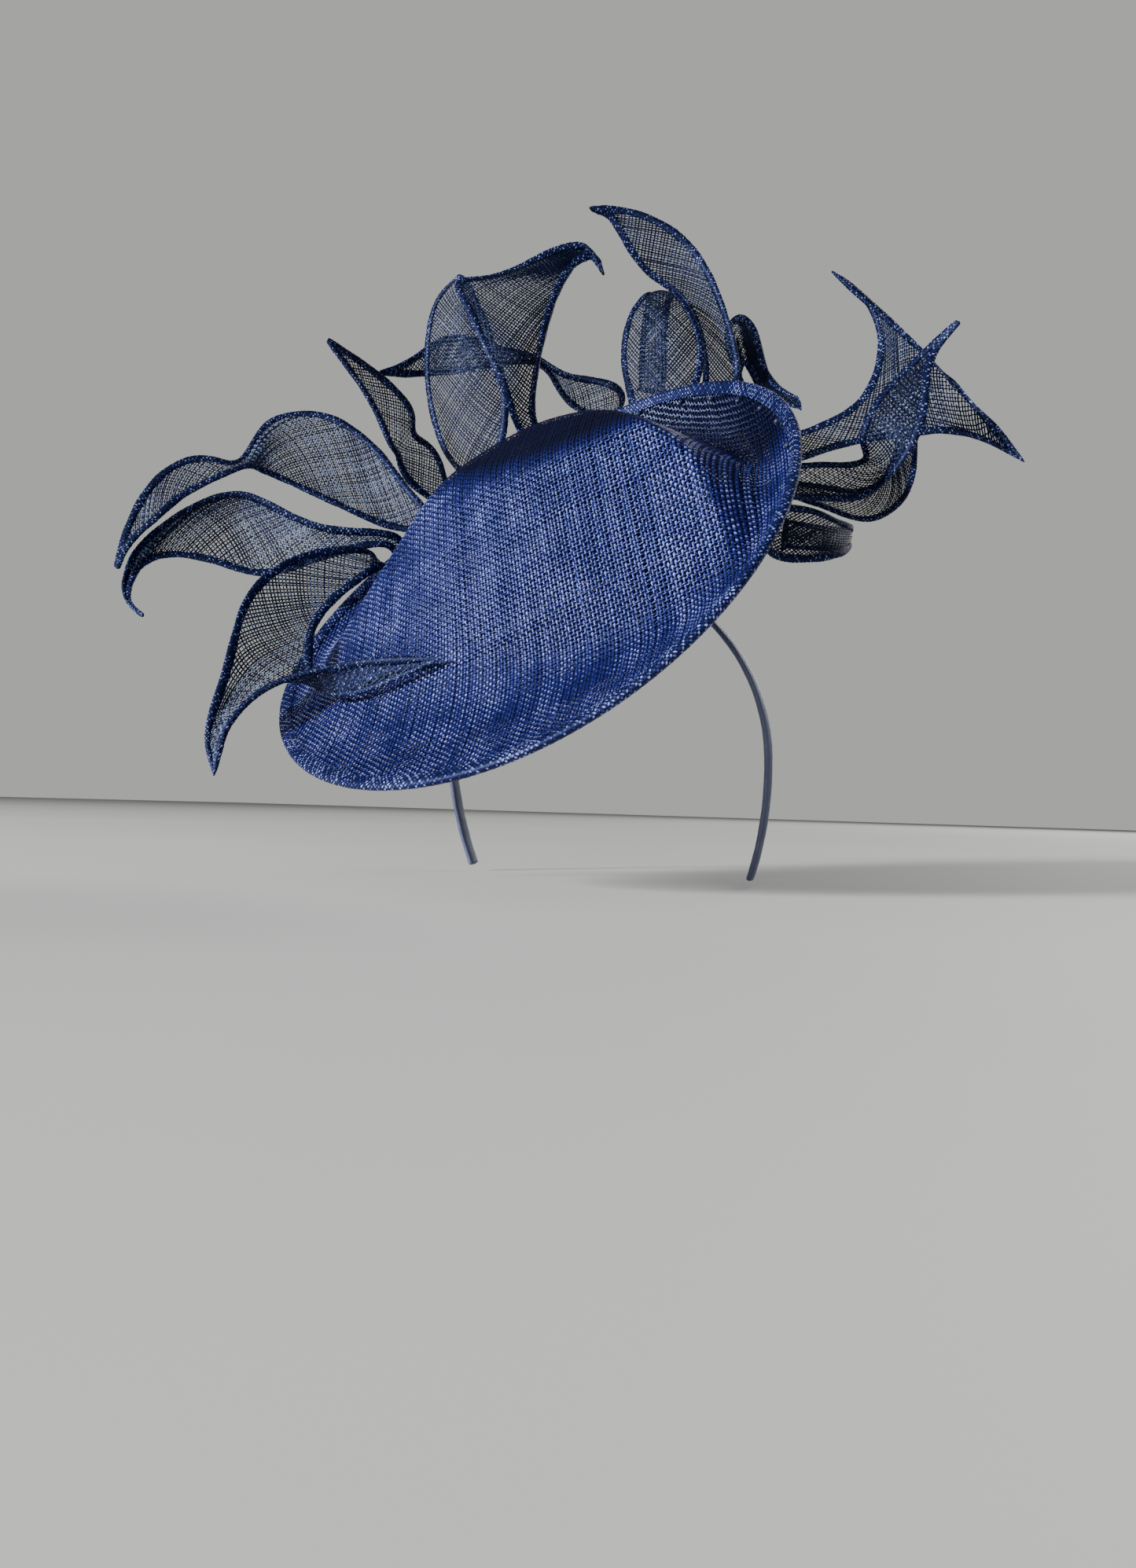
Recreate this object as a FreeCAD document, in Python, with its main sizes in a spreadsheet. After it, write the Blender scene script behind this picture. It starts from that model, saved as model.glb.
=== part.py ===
import FreeCAD, Part
import Sketcher
import math
import os

# Saucer fascinator on a headband, in millimetres.
# Head frame: +X is the wearer's left, +Y the back of the head, +Z up.
# The origin is the head seat: the point on top of the head where the headband crosses it.

V = FreeCAD.Vector
doc = FreeCAD.newDocument("fascinator")

# ---------------------------------------------------------------- driving sizes
SIZES = [
    ("brim_radius", 118, "radius of the wired edge of the saucer"),
    ("edge_saddle", 3.8, "how far the edge rises at its two ends and dips between"),
    ("saddle_bearing", 25, "degrees from the wearer's left to the raised end"),
    ("tilt_forward", 48, "degrees that the saucer tips towards the forehead"),
    ("lean_right", 17, "degrees that the saucer leans to the wearer's right"),
    ("saucer_back", -61, "saucer centre, behind the head seat"),
    ("saucer_up", -5, "saucer centre, above the head seat"),
    ("sinamay_layer", 0.7, "one blocked layer of sinamay, measured upright"),
    ("layer_gap", 0.6, "air between the two layers, measured upright"),
    ("layer_radius", 115.2, "where the two layers are trimmed"),
    ("wire_circle", 117, "radius of the ring that the edge wire follows"),
    ("wire_radius", 0.6, "half of the edge wire's thickness"),
    ("joiner_inner", 0.85, "inside radius of the wire joiner"),
    ("joiner_outer", 1.15, "outside radius of the wire joiner"),
    ("binding_inner", 1.4, "inside radius of the bias binding's fold"),
    ("binding_outer", 1.9, "outside radius of the bias binding's fold"),
    ("binding_leg", 112, "radius that the binding's two legs reach"),
    ("ribbon_width", 9, "width of the head ribbon"),
    ("ribbon_thick", 0.8, "thickness of the head ribbon"),
    ("strip_thick", 0.8, "thickness of a trimming strip"),
    ("tab_width", 14, "width of the gathered root of a strip"),
    ("tab_lift", 2, "height of a root above the layers, or below them"),
    ("tack_radius", 0.5, "radius of a tacking stitch"),
    ("knot_radius", 1, "radius of the knot at each end of a stitch"),
    ("band_radius", 80, "headband bend over the head, to mid thickness"),
    ("band_drop", 77, "height of the head seat above that bend's centre"),
    ("tail_radius", 160, "headband bend below the ears"),
    ("tail_angle", 19.5, "degrees of that bend down to the ends"),
    ("flex_angle", 45, "degrees above the ears where each arm flexes"),
    ("flex_gap", 0.8, "cut between the middle of the band and an arm"),
    ("band_tilt", 8.5, "degrees that the band's plane leans back going down"),
    ("band_rise", 3, "height of the band's middle line over the head seat"),
    ("steel_width", 5, "width of the spring steel core"),
    ("steel_thick", 0.8, "thickness of the spring steel core"),
    ("cover_width", 6.6, "width of the satin cover"),
    ("cover_thick", 2.6, "thickness of the satin cover"),
    ("cover_slack", 0.25, "air between the steel and its cover"),
    ("cover_end", 3, "solid folded end of the cover below the steel"),
    ("riser_half", 48, "half the length of the riser along the band"),
    ("riser_thick", 1.6, "thickness of the riser"),
    ("riser_gap", 0.5, "air between the riser and what it is sewn to"),
]
sheet = doc.addObject("Spreadsheet::Sheet", "Sizes")
for row, (alias, value, meaning) in enumerate(SIZES, start=1):
    sheet.set("A%d" % row, meaning)
    sheet.set("B%d" % row, str(value))
    sheet.setAlias("B%d" % row, alias)
doc.recompute()
D = {alias: float(sheet.get(alias)) for alias, value, meaning in SIZES}

# ---------------------------------------------------------------- where the saucer sits
turn = FreeCAD.Rotation(V(0, 1, 0), -D["lean_right"]).multiply(
    FreeCAD.Rotation(V(1, 0, 0), D["tilt_forward"]))
SAUCER = FreeCAD.Placement(V(0, D["saucer_back"], D["saucer_up"]), turn)

# The blocked shape is a height over the saucer's own plane. Bearings run from the
# wearer's left (0) over the back (90) to the wearer's right (180) and the front (270).
# One value every 30 degrees.
BRIM_DEPTH = [13, 18, 14, 10, 9, 7, 5, 4, 4, 5, 6, 9]
BRIM_WIDTH = [22, 24, 24, 24, 24, 22, 16, 22, 34, 42, 38, 26]
WALL_FOOT = [100, 95, 94, 97, 98, 98, 104, 120, 130, 130, 125, 108]
WALL_SLOPE = [1.4, 1.4, 1.4, 1.4, 1.2, 1.0, 0.8, 0.6, 0.6, 0.6, 0.7, 1.2]
LAYERS = 2 * D["sinamay_layer"] + D["layer_gap"]


def spline_value(p, t):
    """Catmull-Rom value at t between the second and third of four values."""
    a, b, c, d = p
    return 0.5 * (2 * b + (c - a) * t + (2 * a - 5 * b + 4 * c - d) * t * t
                  + (3 * b - a - 3 * c + d) * t ** 3)


def around(values, bearing):
    """Smooth value at a bearing in radians, from values evenly spaced round the saucer."""
    count = len(values)
    u = math.degrees(bearing) % 360 / 360 * count
    i = int(u) % count
    return spline_value([values[(i + k) % count] for k in (-1, 0, 1, 2)], u - int(u))


def soft_min(a, b, blend):
    """The lower of two heights, with the crease between them rounded over blend."""
    share = min(1.0, max(0.0, 0.5 + 0.5 * (b - a) / blend))
    return b * (1 - share) + a * share - blend * share * (1 - share)


def soft_ramp(t, blend):
    """Zero below t = 0 and t above it, with a rounded corner."""
    return 0.5 * (t + math.sqrt(t * t + blend * blend))


def edge_height(bearing):
    """Height of the saucer's edge over its plane."""
    return D["edge_saddle"] * math.cos(2 * (bearing - math.radians(D["saddle_bearing"])))


def height(x, y):
    """Height of the top of the sinamay over the saucer's plane."""
    radius = math.hypot(x, y)
    bearing = math.atan2(y, x)
    edge = edge_height(bearing)
    depth = around(BRIM_DEPTH, bearing)
    along = min(1.0, (D["brim_radius"] - radius) / around(BRIM_WIDTH, bearing))
    brim = edge - depth * (1 - (1 - along) ** 2)
    wall = edge - depth + (around(WALL_FOOT, bearing) - radius) * around(WALL_SLOPE, bearing)
    face = -6 + (0.44 + 0.0029 * x) * (y + 60) - 0.0042 * (y + 80) * soft_ramp(x - 28, 20)
    top = 31.8 - 0.10 * (y - 20) - 0.12 * soft_ramp(x - 30, 20)
    crown = soft_min(face, top, min(9.0, max(2.0, 2 + 0.12 * (70 - x))))
    crown = soft_min(crown, wall, min(9.0, max(3.0, 8 - 0.08 * x)))
    return -soft_min(-crown, -brim, 6.0)


def polar(radius, bearing, lift=0.0):
    """Point at a radius and bearing, lift above the top of the sinamay."""
    x = radius * math.cos(bearing)
    y = radius * math.sin(bearing)
    return V(x, y, height(x, y) + lift)


# ---------------------------------------------------------------- solids from points
def closed_curve(points):
    """Smooth closed edge through points."""
    curve = Part.BSplineCurve()
    curve.interpolate(Points=points, PeriodicFlag=True)
    return curve.toShape()


def open_curve(points):
    """Smooth open edge through points."""
    curve = Part.BSplineCurve()
    curve.interpolate(Points=points)
    return curve.toShape()


def solid_of(faces):
    """Closed solid sewn from faces."""
    shell = Part.makeShell(faces)
    shell.sewShape()
    solid = Part.makeSolid(shell)
    if solid.Volume < 0:
        solid.reverse()
    return solid


def ring_solid(sections):
    """Closed ring through matching section outlines, one outline per bearing."""
    curves = [closed_curve([s[k] for s in sections]) for k in range(len(sections[0]))]
    pairs = zip(curves, curves[1:] + curves[:1])
    return solid_of([Part.makeRuledSurface(a, b) for a, b in pairs])


def bar_solid(sections, hole=None):
    """Open bar through matching section outlines, with an optional hollow through it."""
    faces = []
    for outline in [sections] + ([hole] if hole else []):
        curves = [open_curve([s[k] for s in outline]) for k in range(len(outline[0]))]
        faces += [Part.makeRuledSurface(a, b) for a, b in zip(curves, curves[1:] + curves[:1])]
    for end in (0, -1):
        outer = Part.makePolygon(sections[end] + sections[end][:1])
        if hole:
            inner = Part.makePolygon(hole[end] + hole[end][:1])
            faces.append(Part.makeFace([outer, inner], "Part::FaceMakerBullseye"))
        else:
            faces.append(Part.Face(outer))
    return solid_of(faces)


def feature(name, shape, placement=None):
    """Sub-part whose shape is made from points, named and placed."""
    item = doc.addObject("Part::Feature", name)
    item.Shape = shape
    item.Label = name
    if placement is not None:
        item.Placement = placement
    return item


parts = []

# ---------------------------------------------------------------- the two blocked layers
GRID_STEP = 5.0
GRID_HALF = 25


def layer(name, drop):
    """One blocked layer, its top surface drop below the top of the saucer."""
    span = range(-GRID_HALF, GRID_HALF + 1)
    grid = [[V(i * GRID_STEP, j * GRID_STEP, height(i * GRID_STEP, j * GRID_STEP) - drop)
             for j in span] for i in span]
    surface = Part.BSplineSurface()
    surface.interpolate(grid)
    block = surface.toShape().extrude(V(0, 0, -D["sinamay_layer"]))
    trim = Part.makeCylinder(D["layer_radius"], 200, V(0, 0, -100))
    parts.append(feature(name, block.common(trim).Solids[0], SAUCER))


layer("base_top_layer", 0.0)
layer("base_under_layer", D["sinamay_layer"] + D["layer_gap"])

# ---------------------------------------------------------------- edge wire, joiner, binding
BEARINGS = [math.radians(5 * k) for k in range(72)]
JOINER_BEARING = 100
JOINER_HALF = 6


def edge_frame(bearing):
    """Middle of the wire, the outward direction along the brim, and square to it."""
    centre = polar(D["wire_circle"], bearing, -LAYERS / 2)
    inside = polar(D["binding_leg"], bearing, -LAYERS / 2)
    out = centre.sub(inside).normalize()
    across = V(-math.sin(bearing), math.cos(bearing), 0)
    return centre, out, out.cross(across).normalize()


def round_section(bearing, radius, corners=8):
    """Many-sided section of a wire or tube at a bearing."""
    centre, out, up = edge_frame(bearing)
    points = []
    for k in range(corners):
        angle = 2 * math.pi * (k + 0.5) / corners
        points.append(centre + out * (radius * math.cos(angle)) + up * (radius * math.sin(angle)))
    return points


def binding_section(bearing):
    """Folded binding: two legs on the layers and a round fold outside the wire."""
    centre, out, up = edge_frame(bearing)
    inner, outer = D["binding_inner"], D["binding_outer"]
    wall = outer - inner
    folds = [math.radians(a) for a in (100, 50, 0, -50, -100)]
    outside = [centre + out * (outer * math.cos(a)) + up * (outer * math.sin(a)) for a in folds]
    inside = [centre + out * (inner * math.cos(a)) + up * (inner * math.sin(a)) for a in folds]
    top_leg = polar(D["binding_leg"], bearing, 0.5)
    low_leg = polar(D["binding_leg"], bearing, -LAYERS - 0.5)
    return ([top_leg + up * wall] + outside + [low_leg - up * wall]
            + [low_leg] + inside[::-1] + [top_leg])


wire_start = JOINER_BEARING + 0.4
wire_stops = [math.radians(wire_start + 359.2 * k / 72) for k in range(73)]
parts.append(feature("brim_wire",
                     bar_solid([round_section(b, D["wire_radius"]) for b in wire_stops]), SAUCER))
joiner_stops = [math.radians(JOINER_BEARING + JOINER_HALF * k / 3) for k in range(-3, 4)]
parts.append(feature("wire_joiner", bar_solid(
    [round_section(b, D["joiner_outer"]) for b in joiner_stops],
    [round_section(b, D["joiner_inner"]) for b in joiner_stops]), SAUCER))
parts.append(feature("brim_binding", ring_solid([binding_section(b) for b in BEARINGS]), SAUCER))

# ---------------------------------------------------------------- head ribbon
def ribbon_section(bearing):
    """Upright section of the ribbon that stands under the saucer and meets the head."""
    radius = D["brim_radius"] - around(BRIM_WIDTH, bearing) - 6
    top = polar(radius, bearing, -LAYERS - D["riser_gap"] - 2.0)
    out = V(math.cos(bearing), math.sin(bearing), 0) * D["ribbon_thick"]
    down = V(0, 0, -D["ribbon_width"])
    return [top, top + out, top + out + down, top + down]


parts.append(feature("head_ribbon", ring_solid([ribbon_section(b) for b in BEARINGS]), SAUCER))

# ---------------------------------------------------------------- headband
BAND = FreeCAD.Placement(V(0, 0, D["band_rise"]), FreeCAD.Rotation(V(1, 0, 0), D["band_tilt"]))


def plane_of(body, role):
    """One of a body's own origin planes."""
    return [f for f in body.Origin.OriginFeatures if f.Role == role][0]


def arc_sketch(body, name, side, tail, half_name, start, stop):
    """Curved strip outline on the band's plane: two arcs about one centre and two ends.

    side is 1 on the wearer's left and -1 on the right; tail picks the lower, flatter bend;
    half_name is the expression for half the strip's thickness.
    """
    sketch = body.newObject("Sketcher::SketchObject", name)
    sketch.AttachmentSupport = (plane_of(body, "XZ_Plane"), [""])
    sketch.MapMode = "FlatFace"
    radius = D["tail_radius"] if tail else D["band_radius"]
    cx = side * (D["band_radius"] - D["tail_radius"]) if tail else 0.0
    cy = -D["band_drop"] - D["band_rise"]
    first, last = (start, stop) if side > 0 else (180 - stop, 180 - start)
    first, last = math.radians(first), math.radians(last)
    half = 1.0
    axis = V(0, 0, 1)
    for r in (radius + half, radius - half):
        circle = Part.Circle(V(cx, cy, 0), axis, r)
        sketch.addGeometry(Part.ArcOfCircle(circle, first, last), False)
    for angle in (first, last):
        ray = V(math.cos(angle), math.sin(angle), 0)
        sketch.addGeometry(Part.LineSegment(V(cx, cy, 0) + ray * (radius + half),
                                            V(cx, cy, 0) + ray * (radius - half)), False)
    add = sketch.addConstraint
    add(Sketcher.Constraint("Coincident", 0, 1, 2, 1))
    add(Sketcher.Constraint("Coincident", 1, 1, 2, 2))
    add(Sketcher.Constraint("Coincident", 0, 2, 3, 1))
    add(Sketcher.Constraint("Coincident", 1, 2, 3, 2))
    add(Sketcher.Constraint("Coincident", 0, 3, 1, 3))
    add(Sketcher.Constraint("PointOnObject", 0, 3, 2))
    add(Sketcher.Constraint("PointOnObject", 0, 3, 3))
    outer = add(Sketcher.Constraint("Radius", 0, radius + half))
    inner = add(Sketcher.Constraint("Radius", 1, radius - half))
    name_r = "Sizes.tail_radius" if tail else "Sizes.band_radius"
    sketch.setExpression("Constraints[%d]" % outer, "%s + (%s)" % (name_r, half_name))
    sketch.setExpression("Constraints[%d]" % inner, "%s - (%s)" % (name_r, half_name))
    if tail:
        place = add(Sketcher.Constraint("DistanceX", 0, 3, -1, 1, -cx))
        sketch.setExpression("Constraints[%d]" % place,
                             "%d * (Sizes.tail_radius - Sizes.band_radius)" % side)
    else:
        add(Sketcher.Constraint("PointOnObject", 0, 3, -2))
    drop = add(Sketcher.Constraint("DistanceY", 0, 3, -1, 1, -cy))
    sketch.setExpression("Constraints[%d]" % drop, "Sizes.band_drop + Sizes.band_rise")
    for line in (2, 3):
        angle = first if line == 2 else last
        add(Sketcher.Constraint("Angle", line, angle + math.pi))
    return sketch


def pad(body, sketch, width_name):
    """Material the full width of the strip, half each side of the band's plane."""
    item = body.newObject("PartDesign::Pad", sketch.Name + "_pad")
    item.Profile = sketch
    item.Midplane = True
    item.setExpression("Length", width_name)
    return item


def hollow(body, sketch, width_name):
    """Channel for the steel, half each side of the band's plane."""
    item = body.newObject("PartDesign::Pocket", sketch.Name + "_pocket")
    item.Profile = sketch
    item.Midplane = True
    item.setExpression("Length", width_name)
    return item


HALF_CUT = math.degrees(D["flex_gap"] / 2 / D["band_radius"])
END_CUT = math.degrees(D["cover_end"] / D["tail_radius"])
STEEL_HALF = "Sizes.steel_thick / 2"
COVER_HALF = "Sizes.cover_thick / 2"
SLOT_HALF = "Sizes.steel_thick / 2 + Sizes.cover_slack"
SLOT_WIDTH = "Sizes.steel_width + 2 * Sizes.cover_slack"


def band_spans(side):
    """Bends of one band piece: (side, is it the tail, start, stop) in degrees."""
    flex = D["flex_angle"]
    if side == 0:
        return [(1, False, flex + HALF_CUT, 180 - flex - HALF_CUT)]
    return [(side, False, 0, flex - HALF_CUT), (side, True, -D["tail_angle"], 0)]


def steel(name, side):
    """Spring steel strip of one band piece."""
    body = doc.addObject("PartDesign::Body", name)
    body.Label = name
    for k, (hand, tail, start, stop) in enumerate(band_spans(side)):
        begin = start + END_CUT if tail else start
        sketch = arc_sketch(body, "%s_line%d" % (name, k), hand, tail, STEEL_HALF, begin, stop)
        pad(body, sketch, "Sizes.steel_width")
    body.Placement = BAND
    parts.append(body)


def cover(name, side):
    """Satin tube of one band piece, rounded along its edges."""
    body = doc.addObject("PartDesign::Body", name)
    body.Label = name
    last = None
    for k, (hand, tail, start, stop) in enumerate(band_spans(side)):
        sketch = arc_sketch(body, "%s_skin%d" % (name, k), hand, tail, COVER_HALF, start, stop)
        last = pad(body, sketch, "Sizes.cover_width")
    doc.recompute()
    edges = ["Edge%d" % (n + 1) for n, e in enumerate(last.Shape.Edges)
             if isinstance(e.Curve, Part.Circle)]
    if side != 0:
        tip = min(last.Shape.Faces, key=lambda f: f.CenterOfMass.z)
        edges += ["Edge%d" % (n + 1) for n, e in enumerate(last.Shape.Edges)
                  if any(e.isSame(t) for t in tip.Edges)
                  and not isinstance(e.Curve, Part.Circle)]
    round_off = body.newObject("PartDesign::Fillet", name + "_round")
    round_off.Base = (last, edges)
    round_off.Radius = 1.0
    doc.recompute()
    for k, (hand, tail, start, stop) in enumerate(band_spans(side)):
        begin = start + 0.9 * END_CUT if tail else start
        sketch = arc_sketch(body, "%s_core%d" % (name, k), hand, tail, SLOT_HALF, begin, stop)
        hollow(body, sketch, SLOT_WIDTH)
    body.Placement = BAND
    parts.append(body)


for label, side in (("centre", 0), ("left", 1), ("right", -1)):
    steel("headband_steel_" + label, side)
    cover("headband_cover_" + label, side)

# ---------------------------------------------------------------- riser
RISER_STOPS = [k / 6 for k in range(-6, 7)]
RISER_RADIUS = 86
RISER_BEARING = 92
RISER_SPREAD = 33


def riser_foot(part_way):
    """Point just above the top of the band's cover."""
    angle = math.radians(90) - part_way * D["riser_half"] / D["band_radius"]
    radius = D["band_radius"] + D["cover_thick"] / 2 + D["riser_gap"]
    local = V(radius * math.cos(angle), 0, radius * math.sin(angle) - D["band_drop"] - D["band_rise"])
    return BAND.multVec(local)


def riser_head(part_way):
    """Point just below the saucer, in its back valley."""
    bearing = math.radians(RISER_BEARING - part_way * RISER_SPREAD)
    return SAUCER.multVec(polar(RISER_RADIUS, bearing, -LAYERS - D["riser_gap"] - 1.0))


def riser_section(part_way):
    """Upright section of the riser, its two faces either side of the line foot to head."""
    foot, head = riser_foot(part_way), riser_head(part_way)
    side = V(1, 0, 0).cross(head.sub(foot)).normalize() * (D["riser_thick"] / 2)
    return [foot + side, head + side, head - side, foot - side]


parts.append(feature("riser", bar_solid([riser_section(p) for p in RISER_STOPS])))

# ---------------------------------------------------------------- trimming strips
# Each strip: the bearing and radius of its gathered root, which side of the layers the
# root is sewn to (1 on top, -1 underneath), then the stations of the strip from the root
# to its tip. A station lists points across the strip, in the head frame.
STRIPS = {
    "front_leaf": ((160, 98, 1), [
        [(-96, -34, 9), (-92, -35, 5), (-87, -35, 1)],
        [(-87, -50, 12), (-84, -47, 9), (-84, -41, 6)],
        [(-100, -70, 8), (-95, -63, -1), (-88, -57, -6)],
        [(-107, -88, -3), (-102, -76, -12), (-95, -67, -18)],
        [(-111, -101, -19), (-105, -86, -29), (-94, -76, -30)],
        [(-106, -112, -41), (-100, -97, -43), (-86, -85, -40)],
        [(-103, -121, -61), (-103, -110, -54), (-95, -102, -47), (-89, -94, -46), (-82, -89, -49)],
        [(-102, -128, -78), (-103, -121, -67), (-93, -106, -49), (-73, -98, -51), (-57, -102, -63)],
        [(-95, -129, -92), (-101, -128, -72), (-92, -113, -49), (-60, -99, -45), (-12, -97, -46)]]),
    "left_loop": ((134, 100, 1), [
        [(-78, -15, 35), (-79, -16, 29), (-81, -17, 25)],
        [(-94, -17, 52), (-94, -20, 39), (-95, -24, 27)],
        [(-111, -15, 71), (-111, -24, 49), (-109, -39, 34)],
        [(-129, -23, 85), (-133, -31, 66), (-126, -48, 42)],
        [(-145, -32, 87), (-144, -43, 70), (-136, -57, 47)],
        [(-156, -45, 79), (-147, -56, 63), (-140, -64, 49)],
        [(-150, -65, 52), (-145, -68, 51), (-141, -71, 49)],
        [(-159, -77, 55), (-155, -79, 47), (-150, -82, 40)],
        [(-169, -90, 47), (-164, -92, 39), (-158, -93, 30)],
        [(-172, -102, 30), (-167, -102, 24), (-159, -104, 18)],
        [(-171, -112, 10), (-168, -112, 8), (-166, -112, 7)],
        [(-168, -117, -3), (-167, -117, -4), (-166, -117, -5)]]),
    "side_leaf": ((147, 99, 1), [
        [(-84, -31, 24), (-84, -32, 21), (-85, -34, 18)],
        [(-106, -53, 21), (-110, -51, 16), (-110, -55, 7)],
        [(-128, -65, 31), (-134, -61, 22), (-129, -70, -3)],
        [(-144, -73, 38), (-153, -69, 29), (-143, -82, 2)],
        [(-159, -88, 27), (-164, -84, 23), (-157, -96, 4)],
        [(-166, -99, 15), (-169, -98, 11), (-164, -106, -1)],
        [(-169, -109, 1), (-169, -109, -2), (-164, -111, -9)],
        [(-164, -116, -17), (-164, -115, -18), (-162, -115, -18)],
        [(-153, -116, -25), (-152, -116, -25), (-151, -116, -26)]]),
    "small_leaf": ((122, 101, 1), [
        [(-79, 4, 48), (-80, -1, 45), (-80, -5, 41)],
        [(-82, 1, 61), (-84, -9, 53), (-87, -16, 47)],
        [(-86, -4, 72), (-87, -16, 62), (-91, -23, 55)],
        [(-90, -15, 74), (-89, -22, 67), (-89, -28, 61)],
        [(-88, -16, 82), (-88, -23, 72), (-89, -33, 61)],
        [(-91, -22, 91), (-93, -28, 82), (-94, -37, 76)],
        [(-100, -36, 101), (-100, -40, 94), (-99, -45, 89)],
        [(-109, -54, 108), (-109, -55, 107), (-109, -55, 106)]]),
    "back_strip": ((85, 112, -1), [
        [(-8, 49, 102), (-13, 47, 95), (-17, 44, 89)],
        [(-22, 51, 113), (-27, 50, 105), (-32, 45, 95)],
        [(-43, 46, 117), (-46, 51, 114), (-44, 46, 106)],
        [(-58, 45, 129), (-58, 47, 128), (-55, 46, 124)],
        [(-78, 32, 132), (-77, 37, 129), (-72, 35, 122)],
        [(-93, 19, 137), (-94, 24, 128), (-91, 21, 116)],
        [(-105, 0, 117), (-106, 2, 114), (-106, 2, 110)],
        [(-111, -14, 108), (-111, -14, 107), (-111, -14, 106)]]),
    "tall_loop": ((109, 101, 1), [
        [(-76, 8, 59), (-66, 5, 58), (-53, 3, 60)],
        [(-86, 3, 72), (-66, -3, 68), (-48, 1, 74)],
        [(-93, -1, 99), (-66, -11, 90), (-47, 0, 94)],
        [(-93, -3, 125), (-65, -15, 118), (-54, -5, 120)],
        [(-86, -6, 142), (-70, -11, 139), (-60, -6, 133)],
        [(-71, -9, 149), (-66, -11, 146), (-62, -9, 140)]]),
    "tall_leaf": ((93, 101, 1), [
        [(-40, -4, 74), (-36, -2, 73), (-32, 2, 75)],
        [(-38, -17, 86), (-31, -15, 85), (-29, -5, 91)],
        [(-46, -24, 105), (-31, -20, 102), (-26, -4, 114)],
        [(-57, -22, 126), (-38, -17, 124), (-25, 4, 134)],
        [(-67, -19, 142), (-44, -11, 139), (-24, 12, 148)],
        [(-53, -6, 145), (-34, 3, 152), (-22, 19, 158)],
        [(-33, 11, 162), (-26, 16, 163), (-18, 23, 161)],
        [(-19, 21, 167), (-17, 24, 165), (-15, 25, 160)],
        [(-13, 25, 155), (-12, 26, 154), (-12, 27, 153)]]),
    "peak_leaf": ((57, 112, -1), [
        [(30, 53, 99), (38, 53, 98), (48, 51, 97)],
        [(27, 56, 124), (38, 51, 120), (48, 47, 117)],
        [(17, 58, 149), (28, 52, 146), (38, 48, 145)],
        [(0, 49, 160), (15, 45, 162), (28, 48, 165)],
        [(-6, 36, 171), (6, 36, 172), (15, 41, 178)],
        [(-11, 29, 182), (-6, 31, 183), (-2, 34, 186)],
        [(-18, 21, 184), (-17, 22, 184), (-16, 23, 184)]]),
    "arch_loop": ((70, 112, -1), [
        [(5, 24, 90), (22, 20, 85), (35, 27, 87)],
        [(-3, 29, 111), (23, 18, 106), (37, 36, 111)],
        [(-1, 32, 134), (21, 19, 126), (31, 36, 129)],
        [(3, 41, 146), (14, 36, 147), (20, 41, 144)],
        [(-1, 53, 150), (3, 57, 151), (10, 56, 147)],
        [(-9, 64, 137), (-4, 69, 137), (3, 69, 134)],
        [(-8, 60, 109), (-2, 66, 109), (5, 65, 107)]]),
    "rear_loop": ((47, 112, -1), [
        [(46, 73, 102), (49, 69, 98), (52, 65, 94)],
        [(32, 79, 126), (37, 73, 119), (42, 67, 110)],
        [(30, 85, 148), (37, 82, 138), (43, 76, 121)],
        [(44, 81, 143), (47, 76, 124), (52, 68, 104)],
        [(55, 71, 109), (59, 64, 99), (64, 56, 92)],
        [(74, 59, 93), (77, 53, 88), (79, 49, 83)]]),
    "right_leaf": ((27, 112, -1), [
        [(72, 33, 66), (75, 28, 57), (76, 23, 49)],
        [(89, 44, 73), (93, 39, 66), (98, 37, 60)],
        [(106, 53, 85), (117, 50, 75), (129, 49, 65)],
        [(112, 61, 108), (123, 55, 97), (146, 54, 65)],
        [(108, 61, 127), (128, 60, 110), (160, 59, 60)],
        [(100, 56, 140), (132, 62, 106), (168, 61, 55)],
        [(92, 50, 144), (135, 64, 102), (173, 59, 51)]]),
    "eye_loop": ((17, 112, -1), [
        [(79, 14, 48), (82, 6, 39), (83, 2, 31)],
        [(95, 24, 50), (99, 15, 39), (102, 10, 30)],
        [(108, 29, 49), (115, 17, 38), (118, 14, 29)],
        [(115, 26, 51), (126, 14, 42), (134, 9, 42)],
        [(114, 14, 55), (128, 6, 54), (142, 11, 59)],
        [(122, 18, 74), (133, 13, 72), (142, 15, 76)],
        [(137, 22, 89), (141, 20, 89), (143, 20, 88)],
        [(151, 18, 98), (152, 18, 98), (153, 18, 97)]]),
    "crescent_loop": ((37, 112, -1), [
        [(70, 41, 51), (72, 35, 47), (74, 29, 42)],
        [(87, 52, 49), (90, 44, 42), (93, 37, 35)],
        [(103, 65, 47), (107, 56, 37), (111, 47, 27)],
        [(112, 74, 56), (119, 67, 46), (125, 59, 40)],
        [(115, 80, 68), (120, 74, 63), (127, 68, 58)],
        [(115, 83, 80), (120, 78, 77), (126, 75, 74)]]),
    "lower_loop": ((5, 112, -1), [
        [(86, -17, 23), (88, -27, 12), (88, -31, 1)],
        [(98, 1, 25), (102, -13, 10), (101, -18, -2)],
        [(107, 15, 21), (112, 4, 10), (111, -6, 2)],
        [(109, 30, 22), (111, 24, 16), (112, 15, 10)],
        [(98, 38, 24), (100, 34, 19), (100, 27, 12)],
        [(79, 32, 29), (80, 28, 21), (81, 21, 13)]]),
}


def blend_row(points, count):
    """Count points along a smooth line through the given ones."""
    last = len(points) - 1
    ends = [points[0] * 2 - points[1]] + points + [points[last] * 2 - points[last - 1]]
    row = []
    for k in range(count):
        u = last * k / (count - 1)
        i = min(int(u), last - 1)
        row.append(spline_value(ends[i:i + 4], u - i))
    return row


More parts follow.
